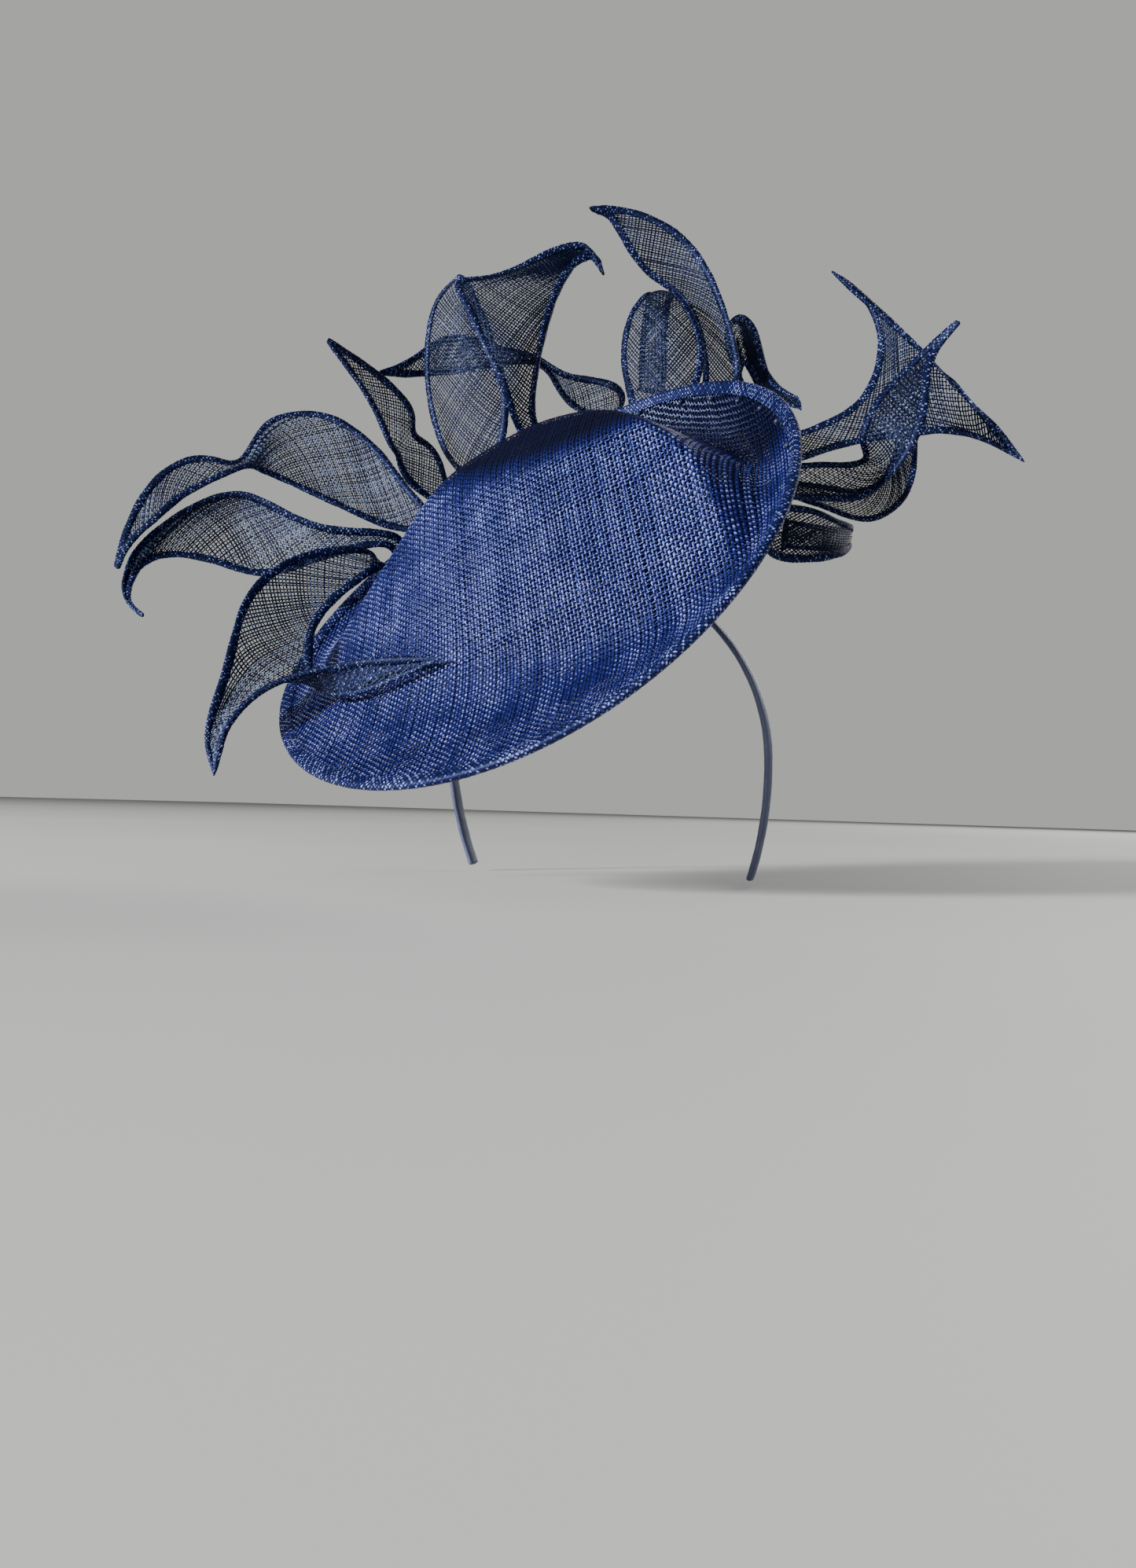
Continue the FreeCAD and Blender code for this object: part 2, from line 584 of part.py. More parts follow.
def eased(points):
    """Points with the corners between them softened twice, both ends kept."""
    for turn_number in range(2):
        inner = [(a + b * 2 + c) * 0.25 for a, b, c in zip(points, points[1:], points[2:])]
        points = points[:1] + inner + points[-1:]
    return points


def root_tab(bearing, radius, side):
    """Three points across the root, in the head frame."""
    lift = D["tab_lift"] if side > 0 else -LAYERS - D["tab_lift"]
    turn_each = D["tab_width"] / 2 / radius
    angles = [math.radians(bearing) + k * turn_each for k in (-1, 0, 1)]
    return [SAUCER.multVec(polar(radius, a, lift)) for a in angles]


ACROSS = 5
PER_STATION = 3


def strip_grid(root, stations):
    """Even grid of points over the strip's middle surface."""
    tab = root_tab(*root)
    rows = [[V(*p) for p in station] for station in stations]
    if (tab[2] - tab[0]).dot(rows[0][-1] - rows[0][0]) < 0:
        tab.reverse()
    rows = [blend_row(r, ACROSS) for r in [tab] + rows]
    count = PER_STATION * (len(rows) - 1) + 1
    lines = [eased(blend_row([r[k] for r in rows], count)) for k in range(ACROSS)]
    return [eased([line[i] for line in lines]) for i in range(count)]


def grid_normal(grid, i, j):
    """Direction square to the grid at one of its points."""
    along = grid[min(i + 1, len(grid) - 1)][j] - grid[max(i - 1, 0)][j]
    over = grid[i][min(j + 1, ACROSS - 1)] - grid[i][max(j - 1, 0)]
    return along.cross(over).normalize()


def clamped(count):
    """Knots and how often each repeats, for a cubic with count poles held at both ends."""
    spans = count - 3
    return [k / spans for k in range(spans + 1)], [4] + [1] * (spans - 1) + [4]


def smooth_sheet(poles):
    """Cubic surface drawn towards a grid of points, straight across where there are two."""
    u_knots, u_mults = clamped(len(poles))
    v_knots, v_mults = clamped(len(poles[0])) if len(poles[0]) > 3 else ([0, 1], [2, 2])
    v_degree = 3 if len(poles[0]) > 3 else 1
    surface = Part.BSplineSurface()
    surface.buildFromPolesMultsKnots(poles, u_mults, v_mults, u_knots, v_knots,
                                     False, False, 3, v_degree)
    return surface.toShape()


def strip_solid(root, stations):
    """Thin solid either side of the strip's middle surface."""
    grid = strip_grid(root, stations)
    half = D["strip_thick"] / 2
    upper, lower = [[[p + grid_normal(grid, i, j) * side for j, p in enumerate(row)]
                     for i, row in enumerate(grid)] for side in (half, -half)]
    faces = [smooth_sheet(upper), smooth_sheet(lower)]
    for j in (0, ACROSS - 1):
        faces.append(smooth_sheet([[a[j], b[j]] for a, b in zip(upper, lower)]))
    for i in (0, len(grid) - 1):
        faces.append(smooth_sheet([[a, b] for a, b in zip(upper[i], lower[i])]))
    return solid_of(faces)


for name, (root, stations) in STRIPS.items():
    parts.append(feature(name, strip_solid(root, stations)))

# ---------------------------------------------------------------- tacking stitches
def stitch(low, high):
    """One stitch from low to high with a knot at each end."""
    rise = high - low
    bar = Part.makeCylinder(D["tack_radius"], rise.Length, low, rise)
    knots = [Part.makeSphere(D["knot_radius"], p) for p in (low, high)]
    return bar.multiFuse(knots)


def trim_stitches():
    """A stitch through the root of every strip and both layers."""
    out = []
    for root, stations in STRIPS.values():
        bearing, radius, side = root
        above = D["tab_lift"] + 1.2 if side > 0 else 1.2
        below = -LAYERS - 1.2 if side > 0 else -LAYERS - D["tab_lift"] - 1.2
        ends = [SAUCER.multVec(polar(radius, math.radians(bearing), k)) for k in (below, above)]
        out.append(stitch(*ends))
    return Part.makeCompound(out)


def riser_stitches():
    """Stitches that hold the riser to the band's cover and to the saucer."""
    out = []
    for part_way in (-0.8, -0.25, 0.3, 0.85):
        foot, head = riser_foot(part_way), riser_head(part_way)
        up = head.sub(foot).normalize()
        out.append(stitch(foot, foot + up * 3))
        out.append(stitch(head - up * 3, head + up * 2.6))
    return Part.makeCompound(out)


parts.append(feature("trim_stitches", trim_stitches()))
parts.append(feature("riser_stitches", riser_stitches()))

# ---------------------------------------------------------------- check and write
doc.recompute()
for item in doc.Objects:
    if "Invalid" in item.State or "Error" in item.State:
        raise RuntimeError("%s did not rebuild: %s" % (item.Name, item.State))
for item in parts:
    if item.Shape.isNull() or not item.Shape.isValid():
        raise RuntimeError("%s has a bad shape" % item.Label)

os.makedirs("parts", exist_ok=True)
for item in parts:
    item.Shape.exportStep("parts/%s.step" % item.Label)
    box = item.Shape.optimalBoundingBox()
    print("%-24s %9.1f mm3  solids %d  x %6.1f %6.1f  y %6.1f %6.1f  z %6.1f %6.1f" % (
        item.Label, item.Shape.Volume, len(item.Shape.Solids),
        box.XMin, box.XMax, box.YMin, box.YMax, box.ZMin, box.ZMax))
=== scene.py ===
import math
import bpy
import numpy as np
from mathutils import Matrix


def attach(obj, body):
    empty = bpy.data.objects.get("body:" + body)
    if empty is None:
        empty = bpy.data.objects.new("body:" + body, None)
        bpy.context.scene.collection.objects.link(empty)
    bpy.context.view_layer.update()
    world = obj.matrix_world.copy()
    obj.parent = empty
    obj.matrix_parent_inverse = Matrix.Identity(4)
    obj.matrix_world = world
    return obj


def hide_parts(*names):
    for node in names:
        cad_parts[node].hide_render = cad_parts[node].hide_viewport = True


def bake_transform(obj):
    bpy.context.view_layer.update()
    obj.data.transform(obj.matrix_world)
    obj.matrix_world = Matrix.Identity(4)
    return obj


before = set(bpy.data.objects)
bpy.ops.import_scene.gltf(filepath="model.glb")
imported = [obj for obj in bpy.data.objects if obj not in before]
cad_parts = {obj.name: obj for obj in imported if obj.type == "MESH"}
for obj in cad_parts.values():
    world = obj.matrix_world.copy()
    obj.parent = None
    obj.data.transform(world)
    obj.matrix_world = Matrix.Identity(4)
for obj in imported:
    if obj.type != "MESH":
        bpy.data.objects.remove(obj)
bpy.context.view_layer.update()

# Millimetres in the row's frame until a mesh is made, which is in metres.
MM = 0.001
RNG = np.random.default_rng(7)

# ---------------------------------------------------------------- camera
ANGLE, PITCH, ROLL = math.radians(28), math.radians(1.2), math.radians(1.65)
LENS, SENSOR = 26, 36
RIGHT = np.array([math.cos(ANGLE), math.sin(ANGLE), 0.0])
AHEAD = np.array([-math.sin(ANGLE), math.cos(ANGLE), 0.0])
UP = np.array([0.0, 0.0, 1.0])
EYE = -8 * RIGHT - 505 * AHEAD - 101 * UP


def frame_matrix(x, y, z, place):
    """Matrix of an object whose axes are x, y and z, at a place in metres."""
    return Matrix([(x[i], y[i], z[i], place[i]) for i in range(3)] + [(0, 0, 0, 1)])


def make_camera():
    """The photograph's camera: a wide lens half a metre away, rolled slightly."""
    data = bpy.data.cameras.new("camera")
    data.lens = LENS
    data.sensor_fit = "VERTICAL"
    data.sensor_height = SENSOR
    data.clip_start = 0.01
    data.clip_end = 50
    cam = bpy.data.objects.new("camera", data)
    bpy.context.scene.collection.objects.link(cam)
    view = math.cos(PITCH) * AHEAD + math.sin(PITCH) * UP
    lift = -math.sin(PITCH) * AHEAD + math.cos(PITCH) * UP
    x = math.cos(ROLL) * RIGHT + math.sin(ROLL) * lift
    y = -math.sin(ROLL) * RIGHT + math.cos(ROLL) * lift
    cam.matrix_world = frame_matrix(x, y, -view, EYE * MM)
    bpy.context.scene.camera = cam


make_camera()

# ---------------------------------------------------------------- saucer shape
# Every 30 degrees round the saucer: how deep the brim's trough is and how wide, and
# where the crown's wall would meet it and how steep that wall is.
BRIM_DEPTH = [13, 18, 14, 10, 9, 7, 5, 4, 4, 5, 6, 9]
BRIM_WIDTH = [22, 24, 24, 24, 24, 22, 16, 22, 34, 42, 38, 26]
WALL_FOOT = [100, 95, 94, 97, 98, 98, 104, 120, 130, 130, 125, 108]
WALL_SLOPE = [1.4, 1.4, 1.4, 1.4, 1.2, 1.0, 0.8, 0.6, 0.6, 0.6, 0.7, 1.2]
RADIUS, LAYERS = 118.0, 2.0
EDGE_WARP, EDGE_TURN = 3.8, math.radians(25)
# The crown's front climbs from FACE_FOOT, twists a little and bends down past a corner on
# the wearer's left. Its top falls gently to the back and bends at nearly the same corner.
FACE_LIFT, FACE_FOOT, FACE_SLOPE, FACE_TWIST = -6, -60, 0.44, 0.0029
FACE_CORNER, FACE_BEND, FACE_BEND_FOOT = 28, 0.0042, -80
TOP_LIFT, TOP_MIDDLE, TOP_SLOPE = 31.8, 20, 0.10
TOP_CORNER, TOP_BEND = 30, 0.12
CORNER_BLEND, FOOT_BLEND = 20, 6.0
TILT, LEAN = math.radians(48), math.radians(-17)
EX = np.array([math.cos(LEAN), 0, -math.sin(LEAN)])
EY = np.array([math.sin(LEAN) * math.sin(TILT), math.cos(TILT), math.cos(LEAN) * math.sin(TILT)])
EN = np.cross(EX, EY)
CENTRE = np.array([0.0, -61.0, -5.0])


def spline(a, b, c, d, t):
    """Smooth curve from b at t = 0 to c at t = 1, with a and d as its neighbours."""
    return 0.5 * (2 * b + (c - a) * t + (2 * a - 5 * b + 4 * c - d) * t ** 2
                  + (3 * b - a - 3 * c + d) * t ** 3)


def around(values, bearing):
    """A value given every 30 degrees, at any bearing."""
    v = np.array(values, float)
    u = np.degrees(bearing) % 360 / 30
    i = u.astype(int) % 12
    return spline(v[i - 1], v[i], v[(i + 1) % 12], v[(i + 2) % 12], u - u.astype(int))


def soft_min(a, b, blend):
    """The smaller of two heights, rounded over where they meet."""
    s = np.clip(0.5 + 0.5 * (b - a) / blend, 0, 1)
    return b * (1 - s) + a * s - blend * s * (1 - s)


def soft_ramp(t, blend):
    """Zero below t = 0 and t above it, rounded over between."""
    return 0.5 * (t + np.sqrt(t * t + blend * blend))


def crown_slopes(x, y):
    """Heights of the crown's sloping front and of its flat top."""
    bend = FACE_BEND * (y - FACE_BEND_FOOT) * soft_ramp(x - FACE_CORNER, CORNER_BLEND)
    face = FACE_LIFT + (FACE_SLOPE + FACE_TWIST * x) * (y - FACE_FOOT) - bend
    top = TOP_LIFT - TOP_SLOPE * (y - TOP_MIDDLE) - TOP_BEND * soft_ramp(x - TOP_CORNER, CORNER_BLEND)
    return face, top


def height(x, y):
    """Height of the top of the sinamay over the saucer's plane."""
    radius, bearing = np.hypot(x, y), np.arctan2(y, x)
    edge = EDGE_WARP * np.cos(2 * (bearing - EDGE_TURN))
    depth = around(BRIM_DEPTH, bearing)
    along = np.minimum(1, (RADIUS - radius) / around(BRIM_WIDTH, bearing))
    brim = edge - depth * (1 - (1 - along) ** 2)
    wall = edge - depth + (around(WALL_FOOT, bearing) - radius) * around(WALL_SLOPE, bearing)
    face, top = crown_slopes(x, y)
    crease = np.clip(1.5 + 0.06 * (70 - x), 1.5, 7)
    shoulder = np.clip(8 - 0.08 * x, 3, 9)
    crown = soft_min(soft_min(face, top, crease), wall, shoulder)
    return -soft_min(-crown, -brim, FOOT_BLEND)


def to_head(x, y, z):
    """Points of the saucer's own axes, in the row's frame."""
    return CENTRE + x[..., None] * EX + y[..., None] * EY + z[..., None] * EN


def on_saucer(x, y, lift=0.0):
    """Points on the saucer and the directions square to it, in the row's frame."""
    step = 0.5
    dx = (height(x + step, y) - height(x - step, y)) / (2 * step)
    dy = (height(x, y + step) - height(x, y - step)) / (2 * step)
    n = -dx[..., None] * EX - dy[..., None] * EY + EN
    n /= np.linalg.norm(n, axis=-1, keepdims=True)
    return to_head(x, y, height(x, y) + lift), n


# ---------------------------------------------------------------- meshes from arrays
# A thread's tone is painted shade and highlight: from 0, painted shade deep in the weave, to 1, a painted
# highlight where it would catch the light; cores get the painted shade of CORE_TONE.
EVEN_TONE, CORE_TONE = 0.5, 0.08
CAP_TURNS = (0.5, 1.0, 1.57)


def unit(v):
    """Directions of length one."""
    return v / np.maximum(np.linalg.norm(v, axis=-1, keepdims=True), 1e-9)


def distances(line):
    """Distance of each point from the first, along the line."""
    return np.r_[0, np.cumsum(np.linalg.norm(np.diff(line, axis=0), axis=1))]


def read_along(s, far, values):
    """Rows of values at distances s, where far holds the distance of each row."""
    return np.stack([np.interp(s, far, values[:, k]) for k in range(3)], axis=1)


def over_under(steps, first_over):
    """1 where a thread is on top and -1 where it dips below, every second step."""
    return np.cos(math.pi * steps / 2) * (1 if first_over else -1)


def rounded_end(ring, middle, reach, turns):
    """Rings that close a tube past its last ring."""
    return np.stack([middle + (ring - middle) * max(math.cos(t), 0.02) + reach * math.sin(t) for t in turns])


def make_mesh(name, points, quads, tone=None):
    """A mesh object from millimetre points, four-cornered faces and a tone of painted shade and highlight
    per point.
    """
    points, quads = np.asarray(points, float), np.asarray(quads, int)
    mesh = bpy.data.meshes.new(name)
    mesh.vertices.add(len(points))
    mesh.vertices.foreach_set("co", (points * MM).ravel())
    mesh.loops.add(quads.size)
    mesh.loops.foreach_set("vertex_index", quads.ravel())
    mesh.polygons.add(len(quads))
    mesh.polygons.foreach_set("loop_start", np.arange(0, quads.size, 4))
    mesh.polygons.foreach_set("loop_total", np.full(len(quads), 4))
    mesh.update(calc_edges=True)
    mesh.validate()
    mesh.polygons.foreach_set("use_smooth", np.full(len(mesh.polygons), True))
    if tone is not None:
        shade = mesh.attributes.new("tone", "FLOAT", "POINT")
        shade.data.foreach_set("value", np.asarray(tone, float))
    obj = bpy.data.objects.new(name, mesh)
    bpy.context.scene.collection.objects.link(obj)
    return obj


class Cloth:
    """Collects threads and tubes, then makes one mesh of them."""

    def __init__(self):
        self.points, self.quads, self.tones, self.count = [], [], [], 0

    def add(self, grid, tone, wrap=False):
        """A grid of points, rows along and columns across, as faces."""
        rows, cols = grid.shape[:2]
        k = self.count + np.arange(rows * cols).reshape(rows, cols)
        if wrap:
            k = np.concatenate([k, k[:, :1]], axis=1)
        q = np.stack([k[:-1, :-1], k[1:, :-1], k[1:, 1:], k[:-1, 1:]], axis=-1)
        self.points.append(grid.reshape(-1, 3))
        self.quads.append(q.reshape(-1, 4))
        self.tones.append(np.broadcast_to(tone, (rows, cols)).ravel())
        self.count += rows * cols

    def thread(self, line, normal, width, wave, tone, rounded=True):
        """One flat fibre along line, lifted by wave along the normals."""
        line = line + normal * wave[:, None]
        along = unit(np.gradient(line, axis=0))
        width = np.broadcast_to(width, len(line))[:, None]
        side = unit(np.cross(along, normal)) * (width / 2)
        if rounded:
            ridge = line + normal * 0.22 * width
            self.add(np.stack([line - side, ridge, line + side], axis=1), tone[:, None])
        else:
            self.add(np.stack([line - side, line + side], axis=1), tone[:, None])

    def tube(self, line, out, up, half_out, half_up, tone=CORE_TONE):
        """A closed oval tube along line, rounded off at both ends."""
        sides = 12
        phi = np.arange(sides) * 2 * math.pi / sides
        ring = (line[:, None] + out[:, None] * (half_out[:, None] * np.cos(phi))[..., None]
                + up[:, None] * (half_up[:, None] * np.sin(phi))[..., None])
        way = unit(np.gradient(line, axis=0))
        first = rounded_end(ring[0], line[0], -way[0] * half_up[0], CAP_TURNS)
        last = rounded_end(ring[-1], line[-1], way[-1] * half_up[-1], CAP_TURNS)
        self.add(np.concatenate([first[::-1], ring, last]), tone, wrap=True)

    def wound(self, line, out, up, half_out, half_up, starts, lead, width):
        """Threads wound both ways round an oval tube, over and under each other."""
        far = distances(line)
        steps = np.arange(int(far[-1] / (lead / starts / 4)) + 1)
        s = steps * lead / starts / 4
        centre, o, u = (read_along(s, far, v) for v in (line, out, up))
        ho, hu = (np.interp(s, far, v) for v in (half_out, half_up))
        for way in (1, -1):
            for k in range(starts):
                phi = way * (2 * math.pi * s / lead) + 2 * math.pi * k / starts
                c, n = np.cos(phi)[:, None], np.sin(phi)[:, None]
                over = over_under(steps, k % 2 == 0) * way
                rise = 1.04 + 0.07 * over
                path = centre + o * c * (ho * rise)[:, None] + u * n * (hu * rise)[:, None]
                normal = unit(o * c / ho[:, None] + u * n / hu[:, None])
                # Painted shade where a thread dips under, a painted highlight on top, and random painted
                # glints per crossing.
                glint = RNG.uniform(0.25, 1.0, len(s) // 4 + 2)
                tone = np.clip(np.repeat(glint, 4)[:len(s)] * (0.5 + 0.5 * over) + 0.05, 0, 1)
                girth = width * RNG.uniform(0.8, 1.15)
                self.thread(path, normal, girth, np.full(len(s), 0.03), tone, rounded=False)

    def make(self, name):
        """One mesh object of everything collected."""
        return make_mesh(name, np.concatenate(self.points), np.concatenate(self.quads),
                         np.concatenate(self.tones))


def runs(inside):
    """Start and end of each unbroken stretch of True."""
    edges = np.flatnonzero(np.diff(np.r_[0, inside.astype(int), 0]))
    return zip(edges[::2], edges[1::2])


# ---------------------------------------------------------------- materials
def nodes_of(mat):
    """An empty node tree with a Principled shader wired to its output."""
    mat.use_nodes = True
    tree = mat.node_tree
    tree.nodes.clear()
    out = tree.nodes.new("ShaderNodeOutputMaterial")
    shader = tree.nodes.new("ShaderNodeBsdfPrincipled")
    tree.links.new(shader.outputs[0], out.inputs[0])
    return tree, shader


def noise(tree, scale, detail=2.0, stretch=None):
    """Noise in the object's own metres."""
    where = tree.nodes.new("ShaderNodeTexCoord")
    tex = tree.nodes.new("ShaderNodeTexNoise")
    tex.inputs["Scale"].default_value = scale
    tex.inputs["Detail"].default_value = detail
    source = where.outputs["Object"]
    if stretch:
        mapping = tree.nodes.new("ShaderNodeMapping")
        mapping.inputs["Scale"].default_value = stretch
        tree.links.new(source, mapping.inputs["Vector"])
        source = mapping.outputs[0]
    tree.links.new(source, tex.inputs["Vector"])
    return tex.outputs["Fac"]


def ramp(tree, source, stops):
    """Colour ramp: stops are (position, colour)."""
    node = tree.nodes.new("ShaderNodeValToRGB")
    ends = node.color_ramp.elements
    while len(ends) < len(stops):
        ends.new(0.5)
    for item, (place, colour) in zip(ends, stops):
        item.position = place
        item.color = (*colour, 1)
    tree.links.new(source, node.inputs[0])
    return node.outputs[0]


def grey(tree, source, low, high, a=0.0, b=1.0):
    """Value mapped from low..high to a..b."""
    node = tree.nodes.new("ShaderNodeMapRange")
    for name, value in (("From Min", low), ("From Max", high), ("To Min", a), ("To Max", b)):
        node.inputs[name].default_value = value
    tree.links.new(source, node.inputs["Value"])
    return node.outputs[0]


def roughen(tree, shader, grain, rough):
    """Roughness that varies a little with the grain."""
    tree.links.new(grey(tree, grain, 0.3, 0.7, rough - 0.08, rough + 0.1), shader.inputs["Roughness"])


def emboss(tree, shader, grain, strength, depth):
    """Relief of the grain, depth in metres."""
    bump = tree.nodes.new("ShaderNodeBump")
    bump.inputs["Strength"].default_value = strength
    bump.inputs["Distance"].default_value = depth
    tree.links.new(grain, bump.inputs["Height"])
    tree.links.new(bump.outputs[0], shader.inputs["Normal"])


def combine(tree, operation, a, b):
    """Two values added or multiplied."""
    node = tree.nodes.new("ShaderNodeMath")
    node.operation = operation
    tree.links.new(a, node.inputs[0])
    tree.links.new(b, node.inputs[1])
    return node.outputs[0]


def fibre_material(name, dark, middle, pale, rough, shine):
    """Stiffened plant fibre: painted shade and highlight along each thread, colour drift and fine grain."""
    mat = bpy.data.materials.new(name)
    tree, shader = nodes_of(mat)
    shade = tree.nodes.new("ShaderNodeAttribute")
    shade.attribute_name = "tone"
    drift = grey(tree, noise(tree, 60, 3), 0.35, 0.65, 0.8, 1.1)
    tone = combine(tree, "MULTIPLY", shade.outputs["Fac"], drift)
    # The ramp runs from painted shade through the thread's own colour to a painted highlight.
    body = ramp(tree, tone, [(0.08, dark), (0.5, middle), (0.95, pale)])
    tree.links.new(body, shader.inputs["Base Color"])
    grain = noise(tree, 2600, 2)
    roughen(tree, shader, grain, rough)
    emboss(tree, shader, grain, 0.3, 0.0002)
    shader.inputs["Specular IOR Level"].default_value = shine
    shader.inputs["Specular Tint"].default_value = (0.42, 0.52, 1.0, 1)
    return mat


def satin_material(name, dark, light, rough, stretch, bump_depth):
    """Fine woven ribbon or cloth whose threads are too fine to model."""
    mat = bpy.data.materials.new(name)
    tree, shader = nodes_of(mat)
    threads = noise(tree, 1500, 2, stretch)
    drift = noise(tree, 45, 3)
    both = combine(tree, "ADD", threads, drift)
    body = ramp(tree, grey(tree, both, 0.7, 1.3), [(0, dark), (1, light)])
    tree.links.new(body, shader.inputs["Base Color"])
    roughen(tree, shader, threads, rough)
    emboss(tree, shader, threads, 0.5, bump_depth)
    shader.inputs["Sheen Weight"].default_value = 0.35
    shader.inputs["Sheen Roughness"].default_value = 0.35
    shader.inputs["Sheen Tint"].default_value = (0.6, 0.65, 0.85, 1)
    return mat


def metal_material(name, colour, rough, stretch):
    """Brushed or covered wire and steel."""
    mat = bpy.data.materials.new(name)
    tree, shader = nodes_of(mat)
    lines = noise(tree, 900, 2, stretch)
    dim = tuple(c * 0.7 for c in colour)
    tree.links.new(ramp(tree, lines, [(0.35, dim), (0.65, colour)]), shader.inputs["Base Color"])
    roughen(tree, shader, lines, rough)
    shader.inputs["Metallic"].default_value = 1.0
    return mat


# Sinamay: the painted shade deep in the weave, a thread's own colour, and the painted highlight where it
# would catch the light, then how rough it is and how much it shines.
base_cloth = fibre_material(
    "sinamay_base", (0.0003, 0.0005, 0.014), (0.008, 0.012, 0.13), (0.36, 0.42, 0.95), 0.32, 0.8)
# The under layer is the top layer's navy sinamay, painted darker as shade beneath it.
shaded_under_cloth = fibre_material(
    "sinamay_under_shaded", (0.0003, 0.0004, 0.009), (0.003, 0.004, 0.05), (0.03, 0.04, 0.24), 0.5, 0.25)
strip_cloth = fibre_material(
    "sinamay_strip", (0.0006, 0.0012, 0.007), (0.004, 0.007, 0.028), (0.23, 0.30, 0.48), 0.42, 0.3)
hem_cloth = fibre_material(
    "sinamay_hem", (0.0004, 0.0007, 0.009), (0.006, 0.011, 0.07), (0.24, 0.31, 0.66), 0.5, 0.3)
binding_cloth = fibre_material(
    "sinamay_binding", (0.0005, 0.0008, 0.012), (0.012, 0.018, 0.13), (0.36, 0.43, 0.9), 0.45, 0.4)
satin = satin_material(
    "satin_cover", (0.035, 0.043, 0.10), (0.09, 0.105, 0.19), 0.42, (1, 1, 6), 0.0001)
riser_cloth = satin_material(
    "riser_cloth", (0.006, 0.009, 0.03), (0.02, 0.03, 0.085), 0.6, (1, 3, 1), 0.0002)
ribbon_cloth = satin_material(
    "head_ribbon_cloth", (0.004, 0.006, 0.02), (0.014, 0.02, 0.06), 0.55, (4, 4, 0.4), 0.0002)
thread_mat = satin_material(
    "sewing_thread", (0.004, 0.006, 0.022), (0.03, 0.045, 0.12), 0.4, (6, 6, 1), 0.0001)
wire_mat = metal_material("edge_wire", (0.05, 0.05, 0.06), 0.5, (1, 1, 8))
steel_mat = metal_material("spring_steel", (0.55, 0.56, 0.58), 0.3, (1, 12, 1))


def finish_piece(obj, mat, body, slot, *replaced):
    """Give a piece its material and body, and hide the CAD nodes that it replaces; slot is not used."""
    obj.data.materials.append(mat)
    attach(obj, body)
    if replaced:
        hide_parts(*replaced)


# ---------------------------------------------------------------- saucer layers
SAUCER_PITCH, TRIM_RADIUS = 1.45, 116.2
# Threads one way are painted darker than the others, as painted shade.
SHADED_WAY = 0.7
# Past the crown's crease the cloth is pulled hard, so its threads are slimmer there, and their tone is
# darkened there as painted shade.
PULL_RISE, PULL_START, PULL_PAINTED_SHADE, PULL_SLIM = 9, 0.4, 0.8, 0.15
# A whole turn, for waves that may start anywhere.
ANY_PHASE = 6.3


def blocked_layer(name, turn, widths, lift, shade_scale, rounded, loose):
    """One blocked layer as woven threads: straight rows both ways, laid over the block."""
    cloth = Cloth()
    pitch = SAUCER_PITCH
    count = int(TRIM_RADIUS / pitch)
    wave = 0.16 * pitch
    for way in (0, 1):
        angle = turn + way * math.pi / 2
        ca, sa = math.cos(angle), math.sin(angle)
        aside = ca * EY - sa * EX
        for k in range(-count, count + 1):
            steps = np.arange(-2 * count - 2, 2 * count + 3)
            along = steps * pitch / 2
            stray = 0.06 * RNG.normal()
            sway = 0.14 * np.sin(along / RNG.uniform(14, 40) + RNG.uniform(0, ANY_PHASE))
            across = k * pitch + loose * pitch * (stray + sway)
            x, y = along * ca - across * sa, along * sa + across * ca
            girth = widths[way] * RNG.uniform(0.92, 1.08)
            strength = RNG.uniform(0.75, 1.0) * (1.0 if way else SHADED_WAY)
            for a, b in runs(np.hypot(x, y) < TRIM_RADIUS):
                if b - a < 3:
                    continue
                cut = slice(a, b)
                line, normal = on_saucer(x[cut], y[cut], lift)
                over = over_under(steps[cut], (k + way) % 2 == 0)
                # Random painted glints, one per step along the thread.
                glint = RNG.uniform(0.7, 1.0, len(over))
                face, top = crown_slopes(x[cut], y[cut])
                # Past the crease, painted shade darkens the tone and the threads are slimmed.
                pulled_and_shaded = np.clip((face - top) / PULL_RISE + PULL_START, 0, 1)
                # Painted shade where a thread dips under and a painted highlight where it lies on top.
                lit = 0.06 + 0.94 * (0.5 + 0.5 * over)
                tone = strength * glint * lit * shade_scale * (1 - PULL_PAINTED_SHADE * pulled_and_shaded)
                steep = np.hypot(1, normal @ aside / (normal @ EN))
                slim = girth * (1 - PULL_SLIM * pulled_and_shaded * rounded) * steep
                cloth.thread(line, normal, slim, wave * over, np.clip(tone, 0, 1), rounded=rounded)
    return cloth.make(name)


top_layer = blocked_layer("base_top_weave", math.radians(4), widths=(0.54, 0.74), lift=0.0,
                          shade_scale=1.0, rounded=True, loose=1.0)
# The under layer's tone is scaled to 0.8 as painted shade beneath the top layer.
under_layer = blocked_layer("base_under_weave", math.radians(9), widths=(1.46, 0.60), lift=-1.3,
                            shade_scale=0.8, rounded=False, loose=0.15)
finish_piece(top_layer, base_cloth, "hat", "sinamay_base", "base_top_layer")
finish_piece(under_layer, shaded_under_cloth, "hat", "sinamay_base", "base_under_layer")


# ---------------------------------------------------------------- edge binding
BINDING_RADIUS, BINDING_PITCH, BINDING_THREAD = 116.8, 1.25, 0.5
# The fold's outline across the edge: outward from the wire, and up from it.
FOLD = np.array([(-3.7, 1.3), (-3.2, 1.55), (-2.2, 1.6), (-1.0, 1.6), (0.1, 1.5), (0.9, 1.15), (1.4, 0.6),
                 (1.55, 0.0), (1.4, -0.6), (0.9, -1.15), (0.1, -1.5), (-1.0, -1.6), (-2.2, -1.6),
                 (-3.2, -1.55), (-3.7, -1.3)])


